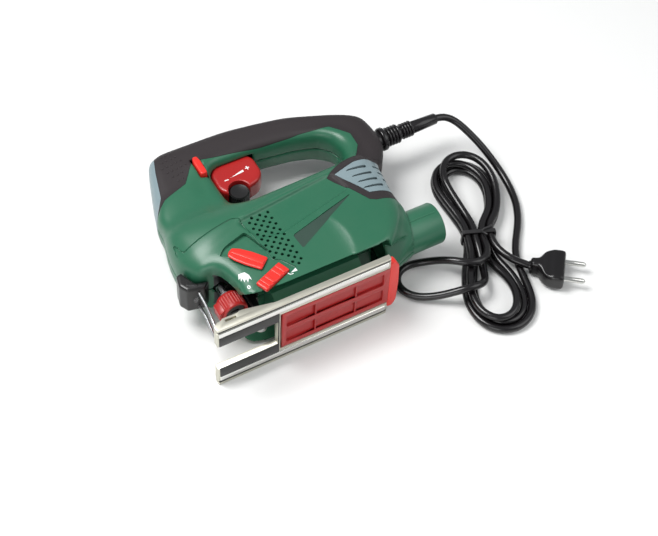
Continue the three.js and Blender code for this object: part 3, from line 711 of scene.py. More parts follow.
def on_points(name, copy, points, turns=None):
    """A copy on each bench point, each with its own turn in radians."""
    obj = piece(name, points, [])
    turned = obj.data.attributes.new("turn", "FLOAT_VECTOR", "POINT")
    turned.data.foreach_set("vector", np.zeros(len(points) * 3) if turns is None
                            else np.array(turns, float).ravel())
    return grow(obj, POINTS_TREE, Copy=copy, Size=1.0)


print("trees:", [t.name for t in bpy.data.node_groups])

# %% [markdown]
# ## The moulded body as a field of distances
# The shell is one flowing shape: a rounded motor barrel, a tall front, a D handle and a flare
# into the dust port. Such a shape is awkward to build from faces, but easy to describe by
# distance: each outline gives a distance to its edge, a smooth maximum keeps what they have in
# common with rounded corners, and a smooth minimum joins two volumes with a fillet. The surface
# is where the distance is zero. A wall of even thickness comes for free, because it is all that
# lies within a few millimetres behind the surface.

# %% Distances to outlines


def outline_distance(outline, a, b):
    """Distance to a closed outline, negative inside, for arrays of coordinates."""
    p = np.array(outline, float)
    best, inside = None, None
    for (x0, y0), (x1, y1) in zip(p, np.roll(p, -1, axis=0)):
        dx, dy = x1 - x0, y1 - y0
        t = np.clip(((a - x0) * dx + (b - y0) * dy) / (dx * dx + dy * dy), 0, 1)
        d = (a - x0 - t * dx) ** 2 + (b - y0 - t * dy) ** 2
        with np.errstate(divide="ignore", invalid="ignore"):
            crosses = ((y0 > b) != (y1 > b)) & (a < x0 + (b - y0) * dx / (dy if dy else 1e-12))
        best = d if best is None else np.minimum(best, d)
        inside = crosses if inside is None else inside ^ crosses
    return np.where(inside, -1, 1) * np.sqrt(best)


CORNER_STEPS = 5


def rounded(outline, radius):
    """The outline with each corner replaced by a short curve."""
    p = np.array(outline, float)
    made = []
    for before, here, after in zip(np.roll(p, 1, axis=0), p, np.roll(p, -1, axis=0)):
        ends = []
        for other in (before, after):
            reach = np.linalg.norm(other - here)
            ends.append(here + (other - here) * min(radius, 0.45 * reach) / reach)
        for t in np.linspace(0, 1, CORNER_STEPS):
            made.append((1 - t) ** 2 * ends[0] + 2 * t * (1 - t) * here + t * t * ends[1])
    return made


def both(a, b, k):
    """What two volumes share, with corners rounded over k."""
    h = np.maximum(k - np.abs(a - b), 0) / max(k, 1e-9)
    return np.maximum(a, b) + h * h * k / 4


def either(a, b, k):
    """Two volumes joined, with a fillet of k."""
    return -both(-a, -b, k)


def without(a, b, k):
    return both(a, -b, k)


# %% The surface where a field is zero


def skin(name, field, corner, pitch, relax=2):
    """A closed mesh of quads round the negative part of a field, one point in each crossed cell."""
    size = np.array(field.shape)
    cells = size - 1
    inside = field < 0
    corners = [(i, j, k) for i in (0, 1) for j in (0, 1) for k in (0, 1)]
    total = sum(inside[i:i + cells[0], j:j + cells[1], k:k + cells[2]].astype(np.int8)
                for i, j, k in corners)
    crossed = (total > 0) & (total < 8)
    ids = np.argwhere(crossed)
    number = -np.ones(cells, np.int64)
    number[crossed] = np.arange(len(ids))
    values = [field[tuple((ids + c).T)] for c in corners]
    place, count = np.zeros((len(ids), 3)), np.zeros(len(ids))
    for m, a in enumerate(corners):
        for n, b in enumerate(corners):
            if n > m and sum(abs(u - v) for u, v in zip(a, b)) == 1:
                hit = (values[m] < 0) != (values[n] < 0)
                t = np.where(hit, values[m] / np.where(hit, values[m] - values[n], 1), 0)
                spot = np.array(a) + t[:, None] * (np.array(b) - np.array(a))
                place += np.where(hit[:, None], spot, 0)
                count += hit
    points = corner + pitch * (ids + place / count[:, None])
    faces = []
    for axis in range(3):
        u, v = [(1, 2), (2, 0), (0, 1)][axis]
        step = np.zeros(3, int)
        step[axis] = 1
        one = inside[tuple(slice(0, s - d) for s, d in zip(size, step))]
        two = inside[tuple(slice(d, s) for s, d in zip(size, step))]
        edges = np.argwhere(one != two)
        edges = edges[(edges[:, u] > 0) & (edges[:, v] > 0)
                      & (edges[:, u] < size[u] - 1) & (edges[:, v] < size[v] - 1)]
        eu, ev = np.zeros(3, int), np.zeros(3, int)
        eu[u], ev[v] = 1, 1
        quad = np.stack([number[tuple((edges - s).T)] for s in (0, eu, eu + ev, ev)], axis=1)
        flip = ~one[tuple(edges.T)]
        quad[flip] = quad[flip][:, ::-1]
        faces.append(quad)
    faces = np.vstack(faces)
    for _ in range(relax):
        near, number_of = np.zeros_like(points), np.zeros(len(points))
        for i in range(4):
            a, b = faces[:, i], faces[:, (i + 1) % 4]
            np.add.at(near, a, points[b])
            np.add.at(near, b, points[a])
            np.add.at(number_of, a, 1)
            np.add.at(number_of, b, 1)
        points += 0.5 * (near / number_of[:, None] - points)
    return piece(name, points, faces[:, ::-1])


# %% Outlines of the body, close to those of the mechanical model
BODY_SIDE = [(45, 9), (160, 9), (175, 19), (189, 36), (205, 62), (221, 113), (214, 122),
             (190, 125.5), (80, 121.5), (50, 128), (19, 124), (10, 104), (8, 86), (15, 70),
             (33, 67), (40, 42), (37, 24)]
BODY_SECTION = [(33, 4), (36.5, 12), (37, 32), (37, 84), (36, 96), (33.5, 108), (28, 117),
                (19, 124), (10, 128.2)]
BODY_PLAN = [(7.8, 12), (12, 21), (21, 28.5), (36, 35), (56, 40), (72, 43), (176, 43),
             (194, 37), (208, 28), (216, 18), (221.2, 8)]
UPPER_SIDE = [(8.5, 88), (10, 112), (16.5, 147), (28, 159.7), (53, 167.7), (69.5, 189.5),
              (82, 186.7), (171, 176.7), (199, 171), (212, 155), (211, 140), (203, 130),
              (200, 112), (60, 100)]
UPPER_SECTION = [(34.5, 86), (32.5, 106), (27, 122), (21.5, 138), (19.5, 152), (19.5, 192)]
UPPER_PLAN = [(8.3, 10), (12, 16), (19, 21), (32, 27), (48, 35), (64, 42), (215, 42)]
HANDLE_SIDE = [(13.5, 149.5), (17, 140), (60, 150), (60, 168), (69.5, 180), (82, 176), (171, 166),
               (199.2, 160), (205, 150), (205, 139.8), (200, 129.6), (198, 118), (221, 113),
               (233, 128), (241, 142), (242, 150), (242, 160), (238, 175.5), (212, 189), (172, 206),
               (112, 220.8), (62, 222.5), (50, 222), (42, 217), (36.5, 212.5), (24, 176)]
GRIP_SECTION = [(20, 110), (20, 194), (18.5, 208), (13.5, 218), (8, 223)]
GRIP_PLAN = [(13, 9), (17, 14), (24, 20), (36, 25), (222, 25), (234, 20), (242, 12)]
OPENING = [(79, 174), (79, 133), (84, 125.5), (94, 122.5), (180, 126), (192, 131.5), (198, 145),
           (196, 158), (186, 168), (165, 175), (130, 180), (88, 180.5)]
TRIM = [(8, 146), (16.6, 150), (27.8, 166), (36, 194.4), (46, 222), (32, 222), (14, 180)]
NOSE = [(0, 73), (4, 65), (19, 62), (25, 66.6), (14, 69.6), (7.6, 85.5), (2.5, 84)]
SCREWS = [(24, 116), (86, 47.5), (150, 113.5), (174, 65)]
PORT_Y, PORT_OUTER, PORT_INNER = 42.5, 19, 16.5
SWEEP, DRAWER_SWEEP, TILT_Y, WALL = 39.8, 31.5, 2, 3

# %% The grid and the solid body
PITCH = 1.15
LOW = np.array((-3.0, 8.0, -3.0))
grid = [LOW[i] + PITCH * np.arange(int((high - LOW[i]) / PITCH) + 1)
        for i, high in enumerate((246, 227, 79))]
X, Y, Z = (a.reshape([-1 if i == j else 1 for j in range(3)]) for i, a in enumerate(grid))


def mirrored(half):
    return [(MID + w, y) for w, y in half] + [(MID - w, y) for w, y in half[::-1]]


def rounded_block(side, section, plan, corner=8, edge=10):
    """What a side outline, a front section and a plan have in common, with soft edges."""
    wide = [(x, MID + w) for x, w in plan] + [(x, MID - w) for x, w in plan[::-1]]
    shape = both(outline_distance(rounded(side, corner), X, Y),
                 outline_distance(rounded(mirrored(section), 5), Z, Y), edge)
    return both(shape, outline_distance(rounded(wide, 5), X, Z), edge)


def bead(start, end, width, height):
    """A long soft ridge on the body's sides, tapered at its ends."""
    (x0, y0), (x1, y1) = start, end
    t = ((X - x0) * (x1 - x0) + (Y - y0) * (y1 - y0)) / ((x1 - x0) ** 2 + (y1 - y0) ** 2)
    off = np.hypot(X - x0 - t * (x1 - x0), Y - y0 - t * (y1 - y0))
    return height * np.exp(-((off / width) ** 2)) * ease(t * 8) * ease((1 - t) * 8)


body = rounded_block(BODY_SIDE, BODY_SECTION, BODY_PLAN, 10, 9)
body = either(body, rounded_block(UPPER_SIDE, UPPER_SECTION, UPPER_PLAN, 10, 8), 14)
handle = rounded_block(HANDLE_SIDE, GRIP_SECTION, GRIP_PLAN, 9, 12)
body = either(body, handle, 8)
taper = PORT_OUTER + 0.25 + 0.13 * np.clip(203 - X, 0, 60)
flare = both(np.hypot(Y - PORT_Y, Z - MID) - taper, np.abs(X - 180) - 23, 1)
body = either(body, flare, 26)
side_gate = ease((np.abs(Z - MID) - 24) / 10)
BAND = [(67, 96), (166, 109), (171, 86), (97, 68), (76, 72)]
body = body + side_gate * (1.7 * ease(0.5 - outline_distance(rounded(BAND, 5), X, Y) / 2)
                           - bead((64, 98), (166, 110.5), 2.3, 1.0)
                           - bead((92, 66), (170, 84), 2, 0.8)
                           - bead((12, 128), (60, 122), 4.0, 0.8))
body = np.maximum(body, 0.15 - Z)
body = without(body, outline_distance(rounded(OPENING, 6), X, Y), 12)
print("field:", body.shape)

# %% What is taken out of it, and the wall that stays


def box_field(centre, half):
    """Negative inside a box with this middle and these half sizes."""
    return np.maximum.reduce(np.broadcast_arrays(*(np.abs(axis - c) - h for axis, c, h
                                                   in zip((X, Y, Z), centre, half))))


PLATE_END, DRAWER_END, DRAWER_TOP, ROD_X, CLEAR = 173, 230, 11, 34.7, 0.3
reach = np.hypot(Y - TILT_Y, Z - MID)
plate_sweep = both(reach - SWEEP, X - PLATE_END, 4)
drawer_sweep = np.maximum(np.maximum(reach - DRAWER_SWEEP, Y - DRAWER_TOP - np.abs(Z - MID)),
                          X - DRAWER_END)
sweep = either(plate_sweep, drawer_sweep, 2)
pocket = box_field((26, 35.5, MID), (31, 30.5, 18))
body = without(without(body, sweep, 2), pocket, 2)
shell = np.maximum(body, -(body + WALL))
port_hole = np.maximum(np.hypot(Y - PORT_Y, Z - MID) - PORT_OUTER - CLEAR, 170 - X)
rod_hole = np.maximum(np.hypot(X - ROD_X, Z - MID) - 5.4, np.abs(Y - 119) - 59)
trigger_slot = box_field((103, 171, MID), (23, 21, 10.6))
lock_slot = box_field((73, 181.6, 52), (3.9, 11.6, 8))
nose_seat = np.maximum(outline_distance(NOSE, X, Y) - CLEAR, np.abs(Z - MID) - 15.3)
for hole in (port_hole, rod_hole, trigger_slot, lock_slot, nose_seat):
    shell = np.maximum(shell, -hole)


def surface_height(x, y):
    """The height of the left side over a bench point (x, y)."""
    i, j = (int(round((v - LOW[k]) / PITCH)) for k, v in enumerate((x, y)))
    column = body[i, j]
    top = int(np.nonzero(column < 0)[0].max())
    a, b = column[top], column[top + 1]
    return float(grid[2][top] + PITCH * a / (a - b))


left_half = skin("left_half", np.maximum(shell, MID + 0.15 - Z), LOW, PITCH)
right_half = skin("right_half", np.maximum(shell, Z - MID + 0.15), LOW, PITCH)
print("half:", len(left_half.data.polygons), "faces; side height:",
      round(surface_height(120, 60), 2))

# %% [markdown]
# ## Splitting the body into its mouldings
# The green shell, the black soft grip, the black band round the rear vent, the grey vent and
# the grey trim at the front meet flush, with a fine groove between them. They are cut from the
# same skin by prisms of their outlines, so their surfaces run on into each other.

# %% Seams and cutters
SURROUND = [(160, 106.5), (180.5, 66.5), (186, 63.5), (209, 60.5), (217, 66), (236, 92), (236, 118),
            (216, 118), (200, 122), (186, 124)]
VENT_SIDE = [(167.5, 106), (184.5, 74), (209.5, 70), (227, 90), (227, 113.5), (190, 113)]
GRIP_EDGE = [(17.5, 151), (29, 160.3), (53, 168.3), (69.5, 190), (82, 187.2), (171, 177.2),
             (199.2, 171.5), (212.5, 155.2), (211.5, 139.8), (203, 128), (198, 121), (186, 121),
             (190, 100), (240, 100), (248, 140), (248, 178), (214, 198), (174, 214), (114, 228),
             (50, 231), (42.5, 214.3), (33.5, 194.4)]


def grown(outline, distance):
    """A closed outline moved outwards, corner by corner."""
    p = np.array(outline, float)
    area = np.sum(p[:, 0] * np.roll(p[:, 1], -1) - np.roll(p[:, 0], -1) * p[:, 1])

    def outward(a, b):
        d = (b - a) / np.linalg.norm(b - a)
        return np.array((d[1], -d[0])) * math.copysign(1, area)

    made = []
    for before, here, after in zip(np.roll(p, 1, axis=0), p, np.roll(p, -1, axis=0)):
        total = outward(before, here) + outward(here, after)
        made.append(here + total * 2 * distance / total.dot(total))
    return made


def slab(outline, distance=0.0):
    return prism("slab", grown(outline, distance) if distance else outline, -8, 90)


SEAM_RADIUS, SEAM_SINK = 0.8, 0.25


def seam(points):
    """A thin round cutter that follows the left side's surface, with its corners rounded."""
    bent = [points[0], *rounded(points, 2.5)[CORNER_STEPS:-CORNER_STEPS], points[-1]]
    fine = np.vstack([np.linspace(a, b, max(2, int(math.dist(a, b) / 1.5)), endpoint=False)
                      for a, b in zip(bent, bent[1:])] + [bent[-1:]])
    heights = np.array([surface_height(x, y) for x, y in fine])
    return tube("seam", np.column_stack([fine, heights - SEAM_SINK]), SEAM_RADIUS, 8)


# %% The parts of each half
GROOVE = 0.25
mouldings = {}
for side, half in (("left", left_half), ("right", right_half)):
    grip = keep_in(twin(half, "grip"), slab(GRIP_EDGE, -GROOVE))
    band = keep_in(twin(half, "band"), slab(SURROUND, -GROOVE))
    vent = keep_in(twin(half, "vent"), slab(VENT_SIDE, -GROOVE))
    trim = keep_in(twin(half, "trim"), slab(TRIM, 0))
    cut(grip, slab(TRIM, GROOVE), slab(SURROUND))
    cut(band, slab(VENT_SIDE, GROOVE / 2))
    cut(vent, block("middle", 150, 240, 60, 120, MID - 6, MID + 6))
    cut(half, slab(GRIP_EDGE), slab(SURROUND), slab(TRIM, GROOVE))
    mouldings[side] = {"housing": half, "grip": grip, "band": band, "vent": vent, "trim": trim}
    print(side, {k: len(v.data.polygons) for k, v in mouldings[side].items()})

# %% [markdown]
# ## What the shells have cut into them
# The left side carries the controls: an opening round the orbit lever with a floor of its own
# behind it, a slot for the blower slide and a dark triangle. Both sides have a field of small air
# holes in front of the motor and slanted slots in the vent. A fine panel seam runs back from
# the nose. Raised dots give the grip a hold, and the right side has four screw wells.

# %% Recesses for the controls
ORBIT_X, ORBIT_Y, ORBIT_ANGLE = 62.6, 48.8, math.radians(130)
BLOWER_X, BLOWER_Y, BLOWER_TURN = 66, 29.5, math.radians(22)
BLOWER_LENGTH, BLOWER_WIDTH, BLOWER_TRAVEL = 29, 12, 7


def turned_box(x, y, angle, before, after, half):
    """The outline of a rectangle that runs from a point at an angle."""
    a = np.array((math.cos(angle), math.sin(angle)))
    w = np.array((-math.sin(angle), math.cos(angle)))
    return [np.array((x, y)) + a * u + w * v
            for u, v in ((-before, -half), (after, -half), (after, half), (-before, half))]


housing = mouldings["left"]["housing"]
RECESS = [(37.5, 71.5), (45, 78), (67.5, 84), (77, 56), (66, 60), (57, 60)]
TRACK_ROOM = 0.6
track = turned_box(BLOWER_X, BLOWER_Y, BLOWER_TURN, BLOWER_LENGTH / 2 + BLOWER_TRAVEL + TRACK_ROOM,
                   BLOWER_LENGTH / 2 + TRACK_ROOM, BLOWER_WIDTH / 2 + TRACK_ROOM)
cut(housing, prism("recess", rounded(RECESS, 3), 60, 90),
    rod("pin", (ORBIT_X, ORBIT_Y, 0), 3.4, 60, 90, "z"),
    prism("track", rounded(track, 1.5), 72.8, 90))
LABEL = [(103.5, 45.5), (102.5, 61.5), (168, 79.5)]
recess_floor = prism("floor", rounded(grown(RECESS, 1.2), 3), 69.4, 70.6)
cut(recess_floor, rod("pin", (ORBIT_X, ORBIT_Y, 0), 3.4, 60, 90, "z"))
finish_piece(recess_floor, "orbit_recess_floor", GREEN, "housing")
label_height = min(surface_height(x, y) for x, y in LABEL)
cut(housing, prism("label", grown(rounded(LABEL, 2), 0.2), label_height - 1.0, 90))

# %% Panel seam
PANEL_SEAM = [(10.5, 96.5), (12.6, 108.5), (15.5, 94.6), (64, 101.3), (70, 98.4), (74.8, 45.5),
              (80, 43.5), (88, 30)]
cut(housing, seam(PANEL_SEAM))
print("housing after recesses:", len(housing.data.polygons))

# %% Air holes
HOLE_RADIUS, HOLE_PITCH = 1.5, (3.9, 7.4)
for side in ("left", "right"):
    hole = seed_shape("hole", rod("hole", (0, 0, 0), HOLE_RADIUS, -9, 9, "z", 8))
    level = 72.5 if side == "left" else 3.5
    upper = staggered("holes", hole, (76.8, 47.6, level), 6, 7, HOLE_PITCH)
    lower = staggered("holes", hole, (88.5, 36.5, level), 3, 2, HOLE_PITCH, -0.5)
    cut(mouldings[side]["housing"], upper, lower)
    drop(hole)

# %% Slanted slots in the vents
for side in ("left", "right"):
    vent = mouldings[side]["vent"]
    long_slot = seed_shape("slot", prism("slot", [(-11.5, -1.2), (-9, 0.4), (8, 1.9), (9, 1.2),
                                                  (8.6, -1.2)], -20, 20))
    short_slot = seed_shape("slot", prism("slot", [(-4.4, -1.3), (-4.4, 1.3), (5, 1.5), (5, -1.1)],
                                          -20, 20))
    level = 66 if side == "left" else 10
    lean = [(0, 0, -0.10)] * 4
    longs = [(190 + i * 1.0, 105 - i * 8.3, level) for i in range(4)]
    shorts = [(209.5 + i * 0.4, 103 - i * 8.3, level) for i in range(4)]
    cut(vent, on_points("slots", long_slot, longs, lean),
        on_points("slots", short_slot, shorts, lean))
    drop(long_slot), drop(short_slot)

# %% Raised dots on the front of the soft grip
DOTS = [(39 + 4.6 * i + 2.1 * j, 208 - 6.4 * j + 0.5 * i) for j in range(6) for i in range(5)]
DOT_MARGIN = 3
dot = lathe("dot", [(-1, 0), (-0.7, 0.9), (0, 1.25), (0.7, 0.9), (1, 0)], (0, 0, 0), "z", 10)
seed_shape("dot", dot)
for side in ("left", "right"):
    spots = []
    for x, y in DOTS:
        if (outline_distance(GRIP_EDGE, x, y) < -DOT_MARGIN
                and outline_distance(TRIM, x, y) > DOT_MARGIN):
            z = surface_height(x, y) - 0.15
            spots.append((x, y, z if side == "left" else WIDTH - z))
    add(mouldings[side]["grip"], on_points("dots", dot, spots))
drop(dot)

# %% Screw wells on the right side
right = mouldings["right"]["housing"]
for x, y in SCREWS:
    outside = WIDTH - surface_height(x, y)
    cut(right, rod("well", (x, y, 0), 4, -5, outside + 4, "z"),
        rod("shank", (x, y, 0), 2.1, -5, 45, "z", 16))

# %% Printed signs: pieces of the same surface, raised by less than a tenth of a millimetre


def sign(outline):
    """The housing's own skin within an outline, lifted a little."""
    low = min(surface_height(*p) for p in outline) - 0.9
    mark = keep_in(twin(housing, "mark"), slab(outline))
    keep_in(mark, block("top", -10, 260, -10, 240, low, 95))
    mark.data.transform(Matrix.Translation((0, 0, 0.00008)))
    return mark


def oval(x, y, across, up, angles):
    return [(x + across * math.cos(a), y + up * math.sin(a)) for a in angles]


BLADE_SIGN = [(43, 47.5), (41.2, 43), (43.2, 44), (42, 40.3), (44.4, 41.8), (43.8, 37.8),
              (46.4, 40), (46.2, 35.6), (48.6, 39), (50, 36.2), (50.2, 41.5), (48.4, 46)]
BLOWER_SIGN = (oval(82, 27.6, 3.2, 2.7, np.linspace(2.2, 5.2, 9))
               + oval(82, 27.6, 2.3, 1.9, np.linspace(5.2, 2.2, 9)))
CONE_SIGN = [(81.4, 27), (87.6, 26.4), (87.4, 29.6)]
ROUND = np.linspace(0, 2 * math.pi, 13)[:-1]
signs = [sign(BLADE_SIGN), sign(CONE_SIGN), sign(BLOWER_SIGN),
         cut(sign(oval(44.6, 31.3, 1.3, 1.9, ROUND)), slab(oval(44.6, 31.3, 0.55, 1.1, ROUND)))]
for number, mark in enumerate(signs):
    finish_piece(mark, f"printed_sign_{number + 1}", WHITE_PRINT, "housing")

# %% The walls round the blade are painted black as shade


def darken_pocket(obj):
    """Faces in the blade's recess take black plastic as a second finish: painted shade."""
    obj.data.materials.append(BLACK_PLASTIC)
    for face in obj.data.polygons:
        x, y, z = np.array(face.center) * 1000 + BENCH
        if x < 58.2 and y < 67 and abs(z - MID) < 19.6:
            face.material_index = 1


# %% Names, finishes and bodies of the mouldings
FINISH_OF = {"housing": (GREEN, "green_housing"), "grip": (BLACK_GRIP, "black_grip"),
             "band": (BLACK_GRIP, "black_grip"), "vent": (GREY, "grey_trim")}
NODE_OF = {"housing": "{}_housing", "grip": "{}_grip", "vent": "{}_rear_vent"}
for side, parts in mouldings.items():
    for kind, (finish, where) in FINISH_OF.items():
        nodes = [NODE_OF[kind].format(side)] if kind in NODE_OF else []
        finish_piece(parts[kind], f"{side}_{kind}_moulding", finish, "housing", nodes)
    # The blade recess of each housing half is painted black as shade.
    darken_pocket(parts["housing"])
trim = add(mouldings["left"]["trim"], mouldings["right"]["trim"])
finish_piece(trim, "head_trim_wedge", GREY, "housing", ["head_trim"])
label = prism("label", rounded(LABEL, 2), label_height - 1.4, label_height - 0.5)
finish_piece(label, "label_panel", LABEL_GREEN, "housing")

# %% [markdown]
# ## Small mouldings
# The nose cover, the plug and the trigger are small and rounded all over, so they are shaped
# as fields too, on a finer grid. One helper sets up the grid round a piece.

# %% Fields on a fine grid


def small_grid(low, high, pitch):
    axes = [low[i] + pitch * np.arange(int((high[i] - low[i]) / pitch) + 2) for i in range(3)]
    return [a.reshape([-1 if i == j else 1 for j in range(3)]) for i, a in enumerate(axes)]


def rounded_slab(name, outline, z0, z1, corner, edge, pitch, groove=None):
    """An outline between two heights with soft edges. A groove is a field to take away."""
    o = np.array(outline, float)
    low = np.array([*(o.min(0) - 2 * pitch), z0 - 2 * pitch])
    high = np.array([*(o.max(0) + 2 * pitch), z1 + 2 * pitch])
    x, y, z = small_grid(low, high, pitch)
    field = both(outline_distance(rounded(outline, corner), x, y),
                 np.abs(z - (z0 + z1) / 2) - (z1 - z0) / 2, edge)
    if groove is not None:
        field = without(field, groove(x, y, z), 0.8)
    return skin(name, field, low, pitch, relax=1)


# %% Nose cover with a blank badge on its side
nose = rounded_slab("nose", NOSE, MID - 15, MID + 15, 1.5, 3, 0.6)
badge = rounded_slab("badge", [(5, 69.5), (6.5, 74), (14.8, 67.6), (14, 64.6)], MID + 13,
                     MID + 15.4, 1, 0.8, 0.4)
finish_piece(add(nose, badge), "nose_cover_moulding", BLACK_PLASTIC, "housing", ["nose_cover"])

# %% Trigger: a deep red paddle with a round seat for the dial
TRIGGER = [(80.5, 176), (80, 158), (84, 151), (92, 147.5), (103, 148), (118, 152), (124.5, 160),
           (125, 178), (121, 184), (86, 184)]
DIAL_X, DIAL_Y = 96.6, 150


def dial_seat(x, y, z):
    round_hole = np.hypot(x - DIAL_X, y - DIAL_Y) - 9.8
    return np.maximum(round_hole, MID - 6.6 - z)


trigger = rounded_slab("trigger", TRIGGER, MID - 10, MID + 10, 4, 4, 0.7, dial_seat)
finish_piece(trigger, "trigger_paddle", DEEP_RED, "trigger", ["trigger"])
MARK = (47.2, 48.12)
marks = [block("m", 89, 93, 163.4, 164.4, *MARK), block("m", 112, 116, 168.4, 169.4, *MARK),
         block("m", 113.5, 114.5, 166.9, 170.9, *MARK)]
wedge = prism("m", [(95.5, 164.9), (109.5, 166.2), (109.5, 168.6)], *MARK)
finish_piece(add(wedge, *marks), "speed_marks", WHITE_PRINT, "trigger")

# %% Speed dial: a knurled wheel with a dished top
dial = lathe("dial", [(31.8, 0), (31.8, 8.2), (32.4, 8.8), (43.6, 8.8), (44.6, 8), (44.2, 6.4),
                      (43.4, 0)], (DIAL_X, DIAL_Y, 0), "z", 64)
ridge = seed_shape("ridge", rod("ridge", (0, 0, 0), 0.55, -5.4, 5.4, "z", 8))
ridges = on_points("ridges", ridge, [(DIAL_X + 8.7 * c, DIAL_Y + 8.7 * s, 38)
                                     for c, s in ring_of_points(30)])
drop(ridge)
finish_piece(add(dial, ridges), "speed_dial_wheel", BLACK_PLASTIC, "speed_dial", ["speed_dial"])

# %% Lock button, orbit lever and blower slide
lock = rounded_slab("lock", [(69.6, 170.6), (76, 170.6), (76.4, 186), (75.4, 192.6), (71, 192.6),
                             (69.6, 187)], 47, 60.8, 2, 1.6, 0.5)
finish_piece(lock, "lock_button_cap", RED, "lock_button", ["lock_button"])


def along_lever(u, v):
    """The bench point that is u along the lever from its pin, and v to its left."""
    a = np.array((math.cos(ORBIT_ANGLE), math.sin(ORBIT_ANGLE)))
    return tuple(np.array((ORBIT_X, ORBIT_Y)) + a * u + np.array((-a[1], a[0])) * v)


LEVER = [along_lever(u, v) for u, v in ((-6, -7), (8, -7.6), (19, -6.8), (26, -4.6), (27, 0),
                                        (26, 4.6), (19, 6.6), (8, 7.4), (-6, 7))]
lever = rounded_slab("lever", LEVER, 74.9, 77.4, 1.5, 1.6, 0.5)
RIB = [along_lever(u, v) for u, v in ((-5, -2), (24.8, -0.8), (24.8, 1.2), (-5, 2.4))]
add(lever, soften(prism("rib", RIB, 76, 78.2), 0.6, 3),
    rod("pin", (ORBIT_X, ORBIT_Y, 0), 3, 61, 76, "z", 24))
finish_piece(lever, "orbit_lever_cap", RED, "orbit_lever", ["orbit_lever"])
slide = rounded_slab("slide", turned_box(BLOWER_X, BLOWER_Y, BLOWER_TURN, BLOWER_LENGTH / 2,
                     BLOWER_LENGTH / 2, BLOWER_WIDTH / 2), 72.9, 77.2, 1, 1.4, 0.5)
bar = seed_shape("bar", soften(block("bar", -1.5, 1.5, -5.4, 5.4, -1, 0.9), 0.7, 3))
spots = [(BLOWER_X + math.cos(BLOWER_TURN) * u, BLOWER_Y + math.sin(BLOWER_TURN) * u, 77.1)
         for u in (-9.5, -4.5, 4.5, 9.5)]
add(slide, on_points("bars", bar, spots, [(0, 0, BLOWER_TURN)] * 4))
drop(bar)
finish_piece(slide, "blower_slide_cap", RED, "blower_slide", ["blower_slide"])

# %% [markdown]
# ## The base plate and what rides on it
# The base is pressed from steel sheet with folded sides. Two bright rails glide on the work,
# each beside a groove filled with a black strip as painted shade, and a red drawer for spare
# blades fills the gap between them; its tray is a deeper red than its cap, as painted shade.

# %% Pressed plate
PLATE_LENGTH = 163
WALL_SIDE = [(0, 0.4), (PLATE_LENGTH, 0.4), (PLATE_LENGTH, 4.8), (56, 5.2), (50, 6.4), (28, 11),
             (24.5, 11), (24, 10.2), (9, 10.2), (8, 9.2), (4, 8.6), (0, 6.4)]
plate = block("plate", 0, PLATE_LENGTH, 4.8, 6.6, 4, WIDTH - 4)
add(plate, prism("wall", rounded(WALL_SIDE, 1), 0, 4), prism("wall", rounded(WALL_SIDE, 1), 72, 76),
    block("rail", 0, PLATE_LENGTH, 0.8, 5, 0, 14), block("rail", 0, PLATE_LENGTH, 0.8, 5, 62, 76),
    block("front", 0, 58, 0.8, 5, 2, WIDTH - 2),
    keep_in(rod("hump", (0, TILT_Y, MID), 16, 62, 150, "x", 64),
            block("h", 60, 152, 5, 30, 0, WIDTH)))
cut(plate, block("notch", -1, 56, -1, 30, MID - 15.5, MID + 15.5),
    keep_in(rod("bore", (0, TILT_Y, MID), 12.5, 61, 151, "x", 64),
            block("b", 60, 152, 7, 30, 0, WIDTH)),
    block("slot", 91.6, 98.4, 9.6, 30, MID - 13.8, MID + 13.8),
    block("window", 80, 112, 4, 10, MID - 11.5, MID + 11.5),
    block("side_slot", 10.5, 20.5, 6, 8.2, 70, 80),
    block("groove", -1, PLATE_LENGTH + 1, -1, 2.2, 2.4, 4.9),
    block("groove", -1, PLATE_LENGTH + 1, -1, 2.2, 71.1, 73.6))
soften(plate, 0.45, 2, 40)
finish_piece(plate, "pressed_base_plate", PLATE_STEEL, "base_plate", ["base_plate"])

# %% Bright rails, black strips painted as shade in their grooves, and a front insert painted black as shade
for name, z0, z1 in (("left", 65.2, 70.9), ("right", 5.1, 10.8)):
    rail = soften(block("rail", 1.5, 161.5, 0, 1.6, z0, z1), 0.6, 3)
    finish_piece(rail, f"{name}_glide_rail", BRIGHT_RAIL, "base_plate")
# Each groove beside a rail is filled with a black plastic strip: painted shade.
for name, z0 in (("left", 71.2), ("right", 2.5)):
    strip = block("strip", 0.4, 162.6, 0.9, 2.4, z0, z0 + 2.3)
    finish_piece(strip, f"{name}_groove_strip", BLACK_PLASTIC, "base_plate")
# A thin black plastic sheet on the front of the sole: painted shade.
insert = block("insert", 1.5, 57, 0.1, 1.2, 11.5, 64.5)
cut(insert, block("notch", -1, 56, -1, 30, MID - 15.5, MID + 15.5))
soften(insert, 0.3, 2)
finish_piece(insert, "sole_front_insert", BLACK_PLASTIC, "base_plate")

# %% Blade drawer: a ribbed tray and a cap with finger grips
tray = block("tray", 60, PLATE_LENGTH + 2, 0.9, 4.3, 15, WIDTH - 15)
cut(tray, *[prism("well", rounded([(64, z0), (158, z0), (158, z1), (64, z1)], 2), 0, 3.0, "y")
            for z0, z1 in ((20, MID - 3), (MID + 3, 56))])
rib = seed_shape("rib", block("rib", -0.6, 0.6, -1, 0.7, -18.2, 18.2))
add(tray, on_points("ribs", rib, [(92 + 39 * i, 2.2, MID) for i in range(2)]))
drop(rib)
soften(tray, 0.3, 2)
